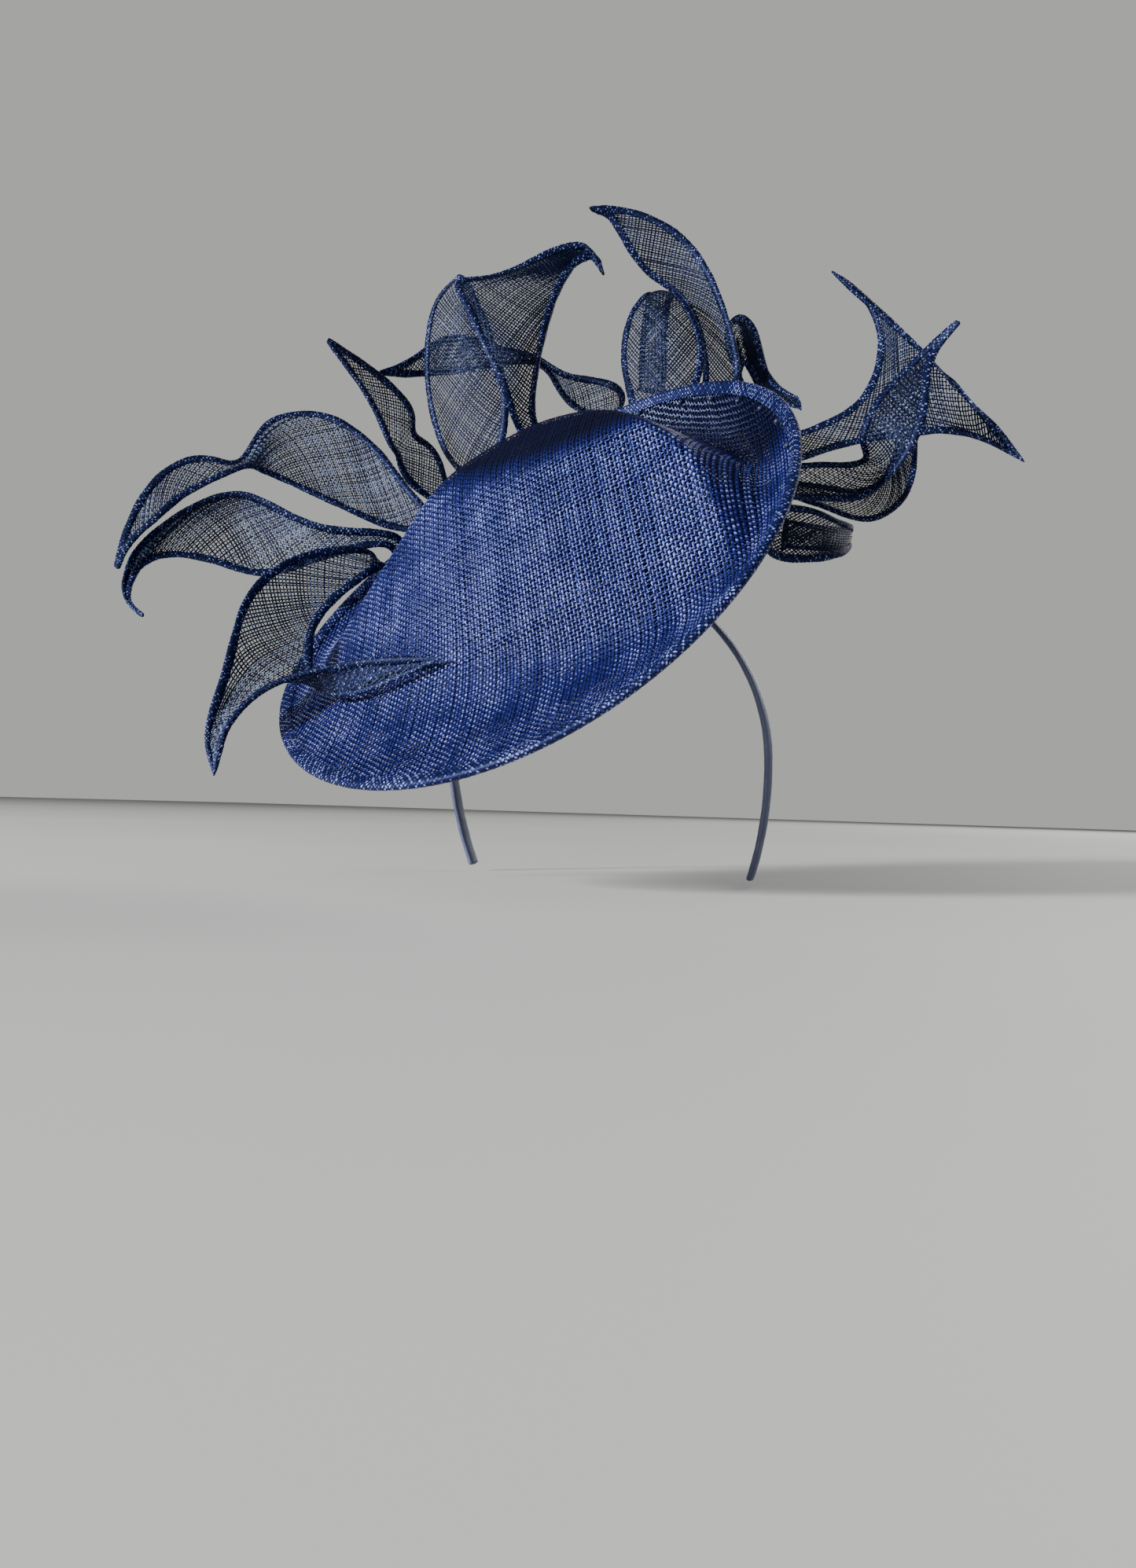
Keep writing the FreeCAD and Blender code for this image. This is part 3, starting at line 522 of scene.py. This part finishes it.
def edge_binding():
    """Bias binding folded over the wired edge, its threads slanting across it."""
    bearing = np.linspace(0, 2 * math.pi, 801)

    def ring(radius):
        """A ring midway between the two layers."""
        r = np.full_like(bearing, radius)
        return on_saucer(r * np.cos(bearing), r * np.sin(bearing), -LAYERS / 2)[0]

    centre = ring(BINDING_RADIUS)
    out = unit(centre - ring(112.0))
    step = np.concatenate([centre[-2:-1], centre, centre[1:2]])
    up = unit(np.cross(out, step[2:] - step[:-2]))
    far, rim = distances(FOLD), distances(centre)

    def at(s, f, lift):
        """Points at s round the rim and f across the fold."""
        o, u = (np.interp(f, far, FOLD[:, k]) for k in (0, 1))
        o = o + 0.15 * np.sin(s / 9.0) * (o < -2)
        c, ou, upw = (read_along(s, rim, v) for v in (centre, out, up))
        normal = unit(ou * (o + 0.4)[:, None] * (o > 0)[:, None] + upw * u[:, None])
        return c + ou * o[:, None] + upw * u[:, None] + normal * lift, normal

    cloth = Cloth()
    grid = np.stack([at(rim, np.full_like(rim, f), 0)[0] for f in far], axis=1)
    # The binding's core takes the painted shade of the deep weave.
    cloth.add(grid, CORE_TONE, wrap=True)
    pitch = BINDING_PITCH * math.sqrt(2)
    count = round(rim[-1] / pitch)
    pitch = rim[-1] / count
    for way in (1, -1):
        for k in range(count):
            steps = np.arange(int(far[-1] / (pitch / 4)) + 1)
            f = steps * pitch / 4
            s = (k * pitch + way * f) % rim[-1]
            line, normal = at(s, f, 0.1)
            over = over_under(steps, k % 2 == 0) * way
            # Painted shade where a thread dips under and a painted highlight where it lies on top.
            tone = np.clip(RNG.uniform(0.35, 1.0) * (0.5 + 0.5 * over) + 0.05, 0, 1)
            girth = BINDING_THREAD * RNG.uniform(0.8, 1.15)
            cloth.thread(line, normal, girth, 0.09 * over, tone, rounded=False)
    return cloth.make("edge_binding")


binding = edge_binding()
finish_piece(binding, binding_cloth, "hat", "bias_binding", "brim_binding")

# ---------------------------------------------------------------- trimming strips
# Each strip: its root's bearing and radius on the saucer and the side it is sewn to, then
# stations from root to tip, each a few points from one long edge to the other.
STRIPS = {
    "front_leaf": ((160, 98, 1), [
        [(-96, -34, 9), (-92, -35, 5), (-87, -35, 1)],
        [(-87, -50, 12), (-84, -47, 9), (-84, -41, 6)],
        [(-100, -70, 8), (-95, -63, -1), (-88, -57, -6)],
        [(-107, -88, -3), (-102, -76, -12), (-95, -67, -18)],
        [(-111, -101, -19), (-105, -86, -29), (-94, -76, -30)],
        [(-106, -112, -41), (-100, -97, -43), (-86, -85, -40)],
        [(-103, -121, -61), (-103, -110, -54), (-95, -102, -47), (-89, -94, -46), (-82, -89, -49)],
        [(-102, -128, -78), (-103, -121, -67), (-93, -106, -49), (-73, -98, -51), (-57, -102, -63)],
        [(-95, -129, -92), (-101, -128, -72), (-92, -113, -49), (-60, -99, -45), (-12, -97, -46)]]),
    "left_loop": ((134, 100, 1), [
        [(-78, -15, 35), (-79, -16, 29), (-81, -17, 25)],
        [(-94, -17, 52), (-94, -20, 39), (-95, -24, 27)],
        [(-111, -15, 71), (-111, -24, 49), (-109, -39, 34)],
        [(-129, -23, 85), (-133, -31, 66), (-126, -48, 42)],
        [(-145, -32, 87), (-144, -43, 70), (-136, -57, 47)],
        [(-156, -45, 79), (-147, -56, 63), (-140, -64, 49)],
        [(-150, -65, 52), (-145, -68, 51), (-141, -71, 49)],
        [(-159, -77, 55), (-155, -79, 47), (-150, -82, 40)],
        [(-169, -90, 47), (-164, -92, 39), (-158, -93, 30)],
        [(-172, -102, 30), (-167, -102, 24), (-159, -104, 18)],
        [(-171, -112, 10), (-168, -112, 8), (-166, -112, 7)],
        [(-168, -117, -3), (-167, -117, -4), (-166, -117, -5)]]),
    "side_leaf": ((147, 99, 1), [
        [(-84, -31, 24), (-84, -32, 21), (-85, -34, 18)],
        [(-106, -53, 21), (-110, -51, 16), (-110, -55, 7)],
        [(-128, -65, 31), (-134, -61, 22), (-129, -70, -3)],
        [(-144, -73, 38), (-153, -69, 29), (-143, -82, 2)],
        [(-159, -88, 27), (-164, -84, 23), (-157, -96, 4)],
        [(-166, -99, 15), (-169, -98, 11), (-164, -106, -1)],
        [(-169, -109, 1), (-169, -109, -2), (-164, -111, -9)],
        [(-164, -116, -17), (-164, -115, -18), (-162, -115, -18)],
        [(-153, -116, -25), (-152, -116, -25), (-151, -116, -26)]]),
    "small_leaf": ((122, 101, 1), [
        [(-79, 4, 48), (-80, -1, 45), (-80, -5, 41)],
        [(-82, 1, 61), (-84, -9, 53), (-87, -16, 47)],
        [(-86, -4, 72), (-87, -16, 62), (-91, -23, 55)],
        [(-90, -15, 74), (-89, -22, 67), (-89, -28, 61)],
        [(-88, -16, 82), (-88, -23, 72), (-89, -33, 61)],
        [(-91, -22, 91), (-93, -28, 82), (-94, -37, 76)],
        [(-100, -36, 101), (-100, -40, 94), (-99, -45, 89)],
        [(-109, -54, 108), (-109, -55, 107), (-109, -55, 106)]]),
    "back_strip": ((85, 112, -1), [
        [(-8, 49, 102), (-13, 47, 95), (-17, 44, 89)],
        [(-22, 51, 113), (-27, 50, 105), (-32, 45, 95)],
        [(-43, 46, 117), (-46, 51, 114), (-44, 46, 106)],
        [(-58, 45, 129), (-58, 47, 128), (-55, 46, 124)],
        [(-78, 32, 132), (-77, 37, 129), (-72, 35, 122)],
        [(-93, 19, 137), (-94, 24, 128), (-91, 21, 116)],
        [(-105, 0, 117), (-106, 2, 114), (-106, 2, 110)],
        [(-111, -14, 108), (-111, -14, 107), (-111, -14, 106)]]),
    "tall_loop": ((109, 101, 1), [
        [(-76, 8, 59), (-66, 5, 58), (-53, 3, 60)],
        [(-86, 3, 72), (-66, -3, 68), (-48, 1, 74)],
        [(-93, -1, 99), (-66, -11, 90), (-47, 0, 94)],
        [(-93, -3, 125), (-65, -15, 118), (-54, -5, 120)],
        [(-86, -6, 142), (-70, -11, 139), (-60, -6, 133)],
        [(-71, -9, 149), (-66, -11, 146), (-62, -9, 140)]]),
    "tall_leaf": ((93, 101, 1), [
        [(-40, -4, 74), (-36, -2, 73), (-32, 2, 75)],
        [(-38, -17, 86), (-31, -15, 85), (-29, -5, 91)],
        [(-46, -24, 105), (-31, -20, 102), (-26, -4, 114)],
        [(-57, -22, 126), (-38, -17, 124), (-25, 4, 134)],
        [(-67, -19, 142), (-44, -11, 139), (-24, 12, 148)],
        [(-53, -6, 145), (-34, 3, 152), (-22, 19, 158)],
        [(-33, 11, 162), (-26, 16, 163), (-18, 23, 161)],
        [(-19, 21, 167), (-17, 24, 165), (-15, 25, 160)],
        [(-13, 25, 155), (-12, 26, 154), (-12, 27, 153)]]),
    "peak_leaf": ((57, 112, -1), [
        [(30, 53, 99), (38, 53, 98), (48, 51, 97)],
        [(27, 56, 124), (38, 51, 120), (48, 47, 117)],
        [(17, 58, 149), (28, 52, 146), (38, 48, 145)],
        [(0, 49, 160), (15, 45, 162), (28, 48, 165)],
        [(-6, 36, 171), (6, 36, 172), (15, 41, 178)],
        [(-11, 29, 182), (-6, 31, 183), (-2, 34, 186)],
        [(-18, 21, 184), (-17, 22, 184), (-16, 23, 184)]]),
    "arch_loop": ((70, 112, -1), [
        [(5, 24, 90), (22, 20, 85), (35, 27, 87)],
        [(-3, 29, 111), (23, 18, 106), (37, 36, 111)],
        [(-1, 32, 134), (21, 19, 126), (31, 36, 129)],
        [(3, 41, 146), (14, 36, 147), (20, 41, 144)],
        [(-1, 53, 150), (3, 57, 151), (10, 56, 147)],
        [(-9, 64, 137), (-4, 69, 137), (3, 69, 134)],
        [(-8, 60, 109), (-2, 66, 109), (5, 65, 107)]]),
    "rear_loop": ((47, 112, -1), [
        [(46, 73, 102), (49, 69, 98), (52, 65, 94)],
        [(32, 79, 126), (37, 73, 119), (42, 67, 110)],
        [(30, 85, 148), (37, 82, 138), (43, 76, 121)],
        [(44, 81, 143), (47, 76, 124), (52, 68, 104)],
        [(55, 71, 109), (59, 64, 99), (64, 56, 92)],
        [(74, 59, 93), (77, 53, 88), (79, 49, 83)]]),
    "right_leaf": ((27, 112, -1), [
        [(72, 33, 66), (75, 28, 57), (76, 23, 49)],
        [(89, 44, 73), (93, 39, 66), (98, 37, 60)],
        [(106, 53, 85), (117, 50, 75), (129, 49, 65)],
        [(112, 61, 108), (123, 55, 97), (146, 54, 65)],
        [(108, 61, 127), (128, 60, 110), (160, 59, 60)],
        [(100, 56, 140), (132, 62, 106), (168, 61, 55)],
        [(92, 50, 144), (135, 64, 102), (173, 59, 51)]]),
    "eye_loop": ((17, 112, -1), [
        [(79, 14, 48), (82, 6, 39), (83, 2, 31)],
        [(95, 24, 50), (99, 15, 39), (102, 10, 30)],
        [(108, 29, 49), (115, 17, 38), (118, 14, 29)],
        [(115, 26, 51), (126, 14, 42), (134, 9, 42)],
        [(114, 14, 55), (128, 6, 54), (142, 11, 59)],
        [(122, 18, 74), (133, 13, 72), (142, 15, 76)],
        [(137, 22, 89), (141, 20, 89), (143, 20, 88)],
        [(151, 18, 98), (152, 18, 98), (153, 18, 97)]]),
    "crescent_loop": ((37, 112, -1), [
        [(70, 41, 51), (72, 35, 47), (74, 29, 42)],
        [(87, 52, 49), (90, 44, 42), (93, 37, 35)],
        [(103, 65, 47), (107, 56, 37), (111, 47, 27)],
        [(112, 74, 56), (119, 67, 46), (125, 59, 40)],
        [(115, 80, 68), (120, 74, 63), (127, 68, 58)],
        [(115, 83, 80), (120, 78, 77), (126, 75, 74)]]),
    "lower_loop": ((5, 112, -1), [
        [(86, -17, 23), (88, -27, 12), (88, -31, 1)],
        [(98, 1, 25), (102, -13, 10), (101, -18, -2)],
        [(107, 15, 21), (112, 4, 10), (111, -6, 2)],
        [(109, 30, 22), (111, 24, 16), (112, 15, 10)],
        [(98, 38, 24), (100, 34, 19), (100, 27, 12)],
        [(79, 32, 29), (80, 28, 21), (81, 21, 13)]]),
}
# A station is read at ACROSS points and the finished surface at COLUMNS of them.
ACROSS, COLUMNS = 5, 33
MIDDLE = COLUMNS // 2
TAB_HALF, TAB_LIFT = 7, 2.0
STRIP_PITCH, STRIP_THREAD = 1.4, 0.68
HEM_HALF, HEM_COVER = 1.7, 0.9
HEM_THREADS, HEM_LEAD, HEM_THREAD = 5, 8.0, 0.42


def resample(points, count):
    """Count points along a smooth line through points, on the first axis."""
    p = np.concatenate([[2 * points[0] - points[1]], points, [2 * points[-1] - points[-2]]])
    u = np.linspace(0, len(points) - 1, count)
    i = np.minimum(u.astype(int), len(points) - 2)
    t = (u - i).reshape((-1,) + (1,) * (points.ndim - 1))
    return spline(p[i], p[i + 1], p[i + 2], p[i + 3], t)


def eased(points):
    """A row of points with its kinks smoothed out and its ends kept."""
    for _ in range(2):
        points = np.concatenate([points[:1], (points[:-2] + 2 * points[1:-1] + points[2:]) / 4, points[-1:]])
    return points


def roll_hem(cloth, line, out, up, half_out, half_up):
    """A rolled hem: an oval core with threads wound round it both ways."""
    # The hem's core takes the painted shade of the deep weave.
    cloth.tube(line, out, up, half_out, half_up)
    cloth.wound(line, out, up, half_out, half_up, HEM_THREADS, HEM_LEAD, HEM_THREAD)


class Strip:
    """The middle surface of one trimming strip, measured along and across in millimetres."""

    def __init__(self, root, stations):
        bearing, radius, side = root
        turn = math.radians(bearing) + np.array([-1, 0, 1]) * TAB_HALF / radius
        lift = TAB_LIFT if side > 0 else -LAYERS - TAB_LIFT
        tab = on_saucer(radius * np.cos(turn), radius * np.sin(turn), lift)[0]
        rows = [np.array(s, float) for s in stations]
        if (tab[2] - tab[0]) @ (rows[0][-1] - rows[0][0]) < 0:
            tab = tab[::-1]
        rows = np.stack([resample(r, ACROSS) for r in [tab] + rows])
        grid = eased(resample(rows, 3 * (len(rows) - 1) + 1))
        grid = eased(grid.swapaxes(0, 1)).swapaxes(0, 1)
        grid = resample(grid, 12 * len(grid))
        self.grid = resample(grid.swapaxes(0, 1), COLUMNS).swapaxes(0, 1)
        du, dv = np.gradient(self.grid, axis=0), np.gradient(self.grid, axis=1)
        self.normal = unit(np.cross(du, dv))
        self.along = distances(self.grid[:, MIDDLE])
        self.half = np.linalg.norm(np.diff(self.grid, axis=1), axis=2).sum(axis=1) / 2
        self.length = self.along[-1]
        between = np.maximum(self.half - HEM_COVER, 0.0)
        self.area = float(np.sum(np.diff(self.along) * (between[1:] + between[:-1])))

    def at(self, a, b):
        """Points and normals at a along the strip and b across it."""
        u = np.interp(a, self.along, np.arange(len(self.along)))
        half = np.interp(a, self.along, self.half)
        v = np.clip(b / np.maximum(half, 0.01), -1, 1) * MIDDLE + MIDDLE
        i, j = np.minimum(u.astype(int), len(self.along) - 2), np.minimum(v.astype(int), COLUMNS - 2)
        fu, fv = (u - i)[:, None], (v - j)[:, None]

        def read(grid):
            return ((grid[i, j] * (1 - fv) + grid[i, j + 1] * fv) * (1 - fu)
                    + (grid[i + 1, j] * (1 - fv) + grid[i + 1, j + 1] * fv) * fu)

        return read(self.grid), unit(read(self.normal))

    def weave(self, name):
        """The strip's open weave, cut on the bias."""
        cloth = Cloth()
        pitch = STRIP_PITCH
        q = pitch * math.sqrt(2)
        reach = int((self.length + self.half.max()) / q) + 2
        back = int(self.half.max() / q) + 2
        for way in (1, -1):
            for k in range(-back, reach):
                steps = np.arange(2 * (-back - 2), 2 * (reach + 2))
                j = steps / 2
                a, b = (k + j) * q / 2, (k - j) * q / 2 * way
                stray = 0.10 * pitch * RNG.normal()
                sway = 0.10 * pitch * np.sin(j / RNG.uniform(4, 9) + RNG.uniform(0, ANY_PHASE))
                a = a + (stray + sway)
                half = np.interp(a, self.along, self.half)
                inside = (a > 0.2) & (a < self.length - 0.5) & (np.abs(b) < half - 0.5)
                girth = STRIP_THREAD * RNG.uniform(0.75, 1.2)
                strength = RNG.uniform(0.4, 1.0)
                for s, e in runs(inside):
                    if e - s < 3:
                        continue
                    cut = slice(s, e)
                    line, normal = self.at(a[cut], b[cut])
                    over = over_under(steps[cut], k % 2 == 0) * way
                    # Painted shade where a thread dips under and a painted highlight where it lies on top.
                    tone = np.clip(strength * (0.1 + 0.9 * (0.5 + 0.5 * over)), 0, 1)
                    cloth.thread(line, normal, girth, 0.13 * over * pitch, tone)
        return cloth.make(name)

    def hems(self, name):
        """Both long edges rolled over on the bias, and a wide cut end too."""
        cloth = Cloth()
        cut_end = self.half[-1] > 2 * HEM_HALF
        a = np.linspace(0, self.length, int(self.length))
        half = np.interp(a, self.along, self.half)
        size = np.clip(0.5 * half + 0.35, 0.8, HEM_HALF)
        for edge in (1, -1):
            line, normal = self.at(a, edge * np.maximum(half - size * 0.8, 0.0))
            line = eased(eased(line))
            along = unit(np.gradient(line, axis=0))
            out = unit(np.cross(along, normal)) * edge
            up = unit(np.cross(out, along)) * edge
            wide = size * (1 + 0.06 * np.sin(a / 5.1 + edge) + 0.05 * np.sin(a / 2.3))
            if cut_end:
                wide *= np.clip(0.4 + (self.length - a) / 30, 0.4, 1.0)
            roll_hem(cloth, line, out, up, wide, 0.6 * wide)
        if cut_end:
            self.end_hem(cloth)
        return cloth.make(name)

    def end_hem(self, cloth):
        """The wide cut end rolled over from corner to corner."""
        b = np.linspace(-self.half[-1], self.half[-1], int(2 * self.half[-1]))
        line, _ = self.at(np.full_like(b, self.length), b)
        inner, _ = self.at(np.full_like(b, self.length - 2.0), b)
        line, out = eased(eased(line)), unit(eased(line - inner))
        up = unit(np.cross(out, unit(np.gradient(line, axis=0))))
        wide = HEM_HALF * np.clip(0.4 + (self.half[-1] - np.abs(b)) / 20, 0.4, 1.0)
        roll_hem(cloth, line, out, up, wide, 0.7 * wide)


for name, (root, stations) in STRIPS.items():
    strip = Strip(root, stations)
    sheet = strip.weave(name + "_weave")
    hems = strip.hems(name + "_hems")
    finish_piece(sheet, strip_cloth, "hat", "sinamay_strip", name)
    finish_piece(hems, hem_cloth, "hat", "sinamay_strip")

# ---------------------------------------------------------------- headband cover
BAND_TILT, BAND_LIFT = math.radians(8.5), 3
TOP_RADIUS, ARM_RADIUS, ARM_TURN = 80, 160, 19.5
COVER_HALF_WIDTH, COVER_HALF_THICKNESS = 3.3, 1.3


def in_band_plane(x, z):
    """Points of the band's own leaning plane, in the row's frame."""
    return np.stack([x, -z * math.sin(BAND_TILT), z * math.cos(BAND_TILT) + BAND_LIFT], axis=1)


def band_path(side):
    """Middle line of one half of the band, from the top of the head to its end."""
    top = np.radians(np.linspace(90, 0, 130))
    tail = np.radians(np.linspace(0, -ARM_TURN, 60))[1:]
    x = np.r_[TOP_RADIUS * np.cos(top), TOP_RADIUS - ARM_RADIUS + ARM_RADIUS * np.cos(tail)]
    z = np.r_[TOP_RADIUS * np.sin(top) - TOP_RADIUS, ARM_RADIUS * np.sin(tail) - TOP_RADIUS]
    return in_band_plane(side * x, z)


def band_cover(name, side):
    """Half of the satin cover, closed with a folded end, its seam along the inside."""
    line = band_path(side)
    along = unit(np.gradient(line, axis=0))
    across = np.broadcast_to([0, math.cos(BAND_TILT), math.sin(BAND_TILT)], line.shape)
    out = unit(np.cross(across, along)) * side
    phi = np.arange(28) * 2 * math.pi / 28
    c, s = np.cos(phi), np.sin(phi)
    shape_w = COVER_HALF_WIDTH * np.sign(c) * np.abs(c) ** 0.62
    shape_t = COVER_HALF_THICKNESS * np.sign(s) * np.abs(s) ** 0.72
    far = distances(line)[:, None]
    crease = 1 + 0.02 * np.sin(far / 2.6 + 2 * phi[None, :]) + 0.012 * np.sin(far / 0.9 + phi)
    seam = -0.22 * np.exp(-((phi - 1.5 * math.pi) / 0.12) ** 2)
    thick = shape_t * crease + seam * np.sign(-s)
    rings = line[:, None] + across[:, None] * (shape_w * crease)[..., None] + out[:, None] * thick[..., None]
    cloth = Cloth()
    cloth.add(rings, EVEN_TONE, wrap=True)
    end = rings[-1:]
    turns = [k / 6 * math.pi / 2 for k in range(1, 7)]
    cap = rounded_end(end[0], end[0].mean(axis=0), along[-1] * 1.2, turns)
    cloth.add(np.concatenate([end, cap]), EVEN_TONE, wrap=True)
    return cloth.make(name)


for label, side in (("left", 1), ("right", -1)):
    cover = band_cover("band_cover_" + label, side)
    names = ["headband_cover_" + label] + (["headband_cover_centre"] if side > 0 else [])
    cover.data.materials.append(satin)
    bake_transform(cover)
    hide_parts(*names)


# ---------------------------------------------------------------- riser and head ribbon
# The riser's foot runs round the band's outer face, and its head under the saucer.
FOOT_RADIUS, FOOT_HALF = 81.8, 48
HEAD_RADIUS, HEAD_BEARING, HEAD_TURN = 86, 92, 33


def riser():
    """Cloth-covered wall between the band and the saucer, with corded edges."""
    share = np.linspace(-1, 1, 121)
    angle = math.pi / 2 - share * FOOT_HALF / TOP_RADIUS
    foot = in_band_plane(FOOT_RADIUS * np.cos(angle), FOOT_RADIUS * np.sin(angle) - TOP_RADIUS)
    bearing = np.radians(HEAD_BEARING - share * HEAD_TURN)
    head = on_saucer(HEAD_RADIUS * np.cos(bearing), HEAD_RADIUS * np.sin(bearing), -LAYERS - 1.5)[0]
    up = unit(head - foot)
    side = unit(np.cross(np.broadcast_to([1.0, 0, 0], up.shape), up))
    levels = np.linspace(0, 1, 41)
    face = foot[:, None] + (head - foot)[:, None] * levels[None, :, None]
    puff = 0.8 + 0.10 * np.sin(share[:, None] * 23) * np.sin(levels[None, :] * 6)
    front, back = face + side[:, None] * puff[..., None], face - side[:, None] * puff[..., None]
    grid = np.concatenate([front, back[:, ::-1]], axis=1)
    cloth = Cloth()
    cloth.add(grid, EVEN_TONE, wrap=True)
    for ring, flip in ((grid[0], True), (grid[-1], False)):
        half = len(ring) // 2
        pair = np.stack([ring[:half], ring[half:][::-1]])
        cloth.add(pair[::-1] if flip else pair, EVEN_TONE)
    for line, lift in ((foot, 1.1), (head, -1.1)):
        cord = line + up * lift
        cloth.tube(cord, side, up, np.full(len(cord), 1.25), np.full(len(cord), 1.0), tone=EVEN_TONE)
    return cloth.make("riser_wall")


wall = riser()
finish_piece(wall, riser_cloth, "hat", "riser_cloth", "riser")


RIBS = 480
# Down from the saucer and outward, on the ribbon's outer face and on its inner one.
OUTER_FACE = ((0, 0.4), (1, 0.75), (2.5, 0.8), (4.5, 0.8), (6.5, 0.8), (8, 0.75), (9, 0.4))
INNER_FACE = ((9, 0.2), (8, 0.05), (4.5, 0.0), (1, 0.05), (0, 0.2))


def head_ribbon():
    """Ribbed ribbon standing under the saucer."""
    bearing = np.linspace(0, 2 * math.pi, 3 * RIBS + 1)[:-1]
    radius = RADIUS - around(BRIM_WIDTH, bearing) - 6
    top = on_saucer(radius * np.cos(bearing), radius * np.sin(bearing), -LAYERS - 2.6)[0]
    out = np.cos(bearing)[:, None] * EX + np.sin(bearing)[:, None] * EY
    rib = 0.10 * np.cos(bearing * RIBS)
    outer = [top - EN * drop + out * (off + rib)[:, None] for drop, off in OUTER_FACE]
    inner = [top - EN * drop + out * (off - rib)[:, None] for drop, off in INNER_FACE]
    grid = np.stack(outer + inner, axis=1)
    cloth = Cloth()
    cloth.add(np.concatenate([grid, grid[:1]]), EVEN_TONE, wrap=True)
    return cloth.make("head_ribbon_band")


ribbon = head_ribbon()
finish_piece(ribbon, ribbon_cloth, "hat", "head_ribbon", "head_ribbon")

# ---------------------------------------------------------------- kept CAD pieces
for node, mat in (("brim_wire", wire_mat), ("wire_joiner", steel_mat), ("headband_steel_centre", steel_mat),
                  ("headband_steel_left", steel_mat), ("headband_steel_right", steel_mat),
                  ("trim_stitches", thread_mat), ("riser_stitches", thread_mat)):
    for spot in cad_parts[node].material_slots:
        spot.material = mat


# ---------------------------------------------------------------- floor and light
FLOOR_HEIGHT, FLOOR_HALF = -133.0, 6000.0
# Lamps are placed in metres.
LAMP_TARGET = np.array([0.0, -0.03, 0.03])
AMBIENT, BACKDROP = 0.18, 0.55


def floor():
    """A pale painted floor just below the headband's ends."""
    grid = np.array([[-1, -1], [1, -1], [1, 1], [-1, 1]]) * FLOOR_HALF
    points = np.c_[grid, np.full(4, FLOOR_HEIGHT)]
    obj = make_mesh("floor", points, [[0, 1, 2, 3]])
    mat = bpy.data.materials.new("floor_paint")
    tree, shader = nodes_of(mat)
    paint = ramp(tree, noise(tree, 3, 4), [(0.3, (0.72, 0.72, 0.70)), (0.7, (0.76, 0.76, 0.74))])
    tree.links.new(paint, shader.inputs["Base Color"])
    shader.inputs["Roughness"].default_value = 0.7
    obj.data.materials.append(mat)


def lamp(name, place, size, power):
    """A square lamp at a place in metres, turned to the hat, of a size in metres and a power in watts."""
    data = bpy.data.lights.new(name, "AREA")
    data.size = size
    data.energy = power
    obj = bpy.data.objects.new(name, data)
    z = unit(np.array(place) - LAMP_TARGET)
    x = unit(np.cross(UP, z))
    obj.matrix_world = frame_matrix(x, np.cross(z, x), z, place)
    bpy.context.scene.collection.objects.link(obj)


def studio_world():
    """Pale to look at, dim as a light, so that the lamps shape the cloth."""
    world = bpy.data.worlds.new("studio")
    world.use_nodes = True
    tree = world.node_tree
    dim = tree.nodes["Background"]
    dim.inputs[0].default_value = (0.80, 0.81, 0.80, 1)
    dim.inputs[1].default_value = AMBIENT
    pale = tree.nodes.new("ShaderNodeBackground")
    pale.inputs[0].default_value = (0.80, 0.81, 0.78, 1)
    pale.inputs[1].default_value = BACKDROP
    path = tree.nodes.new("ShaderNodeLightPath")
    both = tree.nodes.new("ShaderNodeMixShader")
    tree.links.new(path.outputs["Is Camera Ray"], both.inputs[0])
    tree.links.new(dim.outputs[0], both.inputs[1])
    tree.links.new(pale.outputs[0], both.inputs[2])
    tree.links.new(both.outputs[0], tree.nodes["World Output"].inputs[0])
    bpy.context.scene.world = world


floor()
studio_world()
lamp("key", (-1.65, -3.4, 0.9), 0.54, 310)
lamp("fill", (2.1, -3.3, 0.9), 1.8, 27)
lamp("back", (0.8, 3.6, 1.9), 2.4, 75)
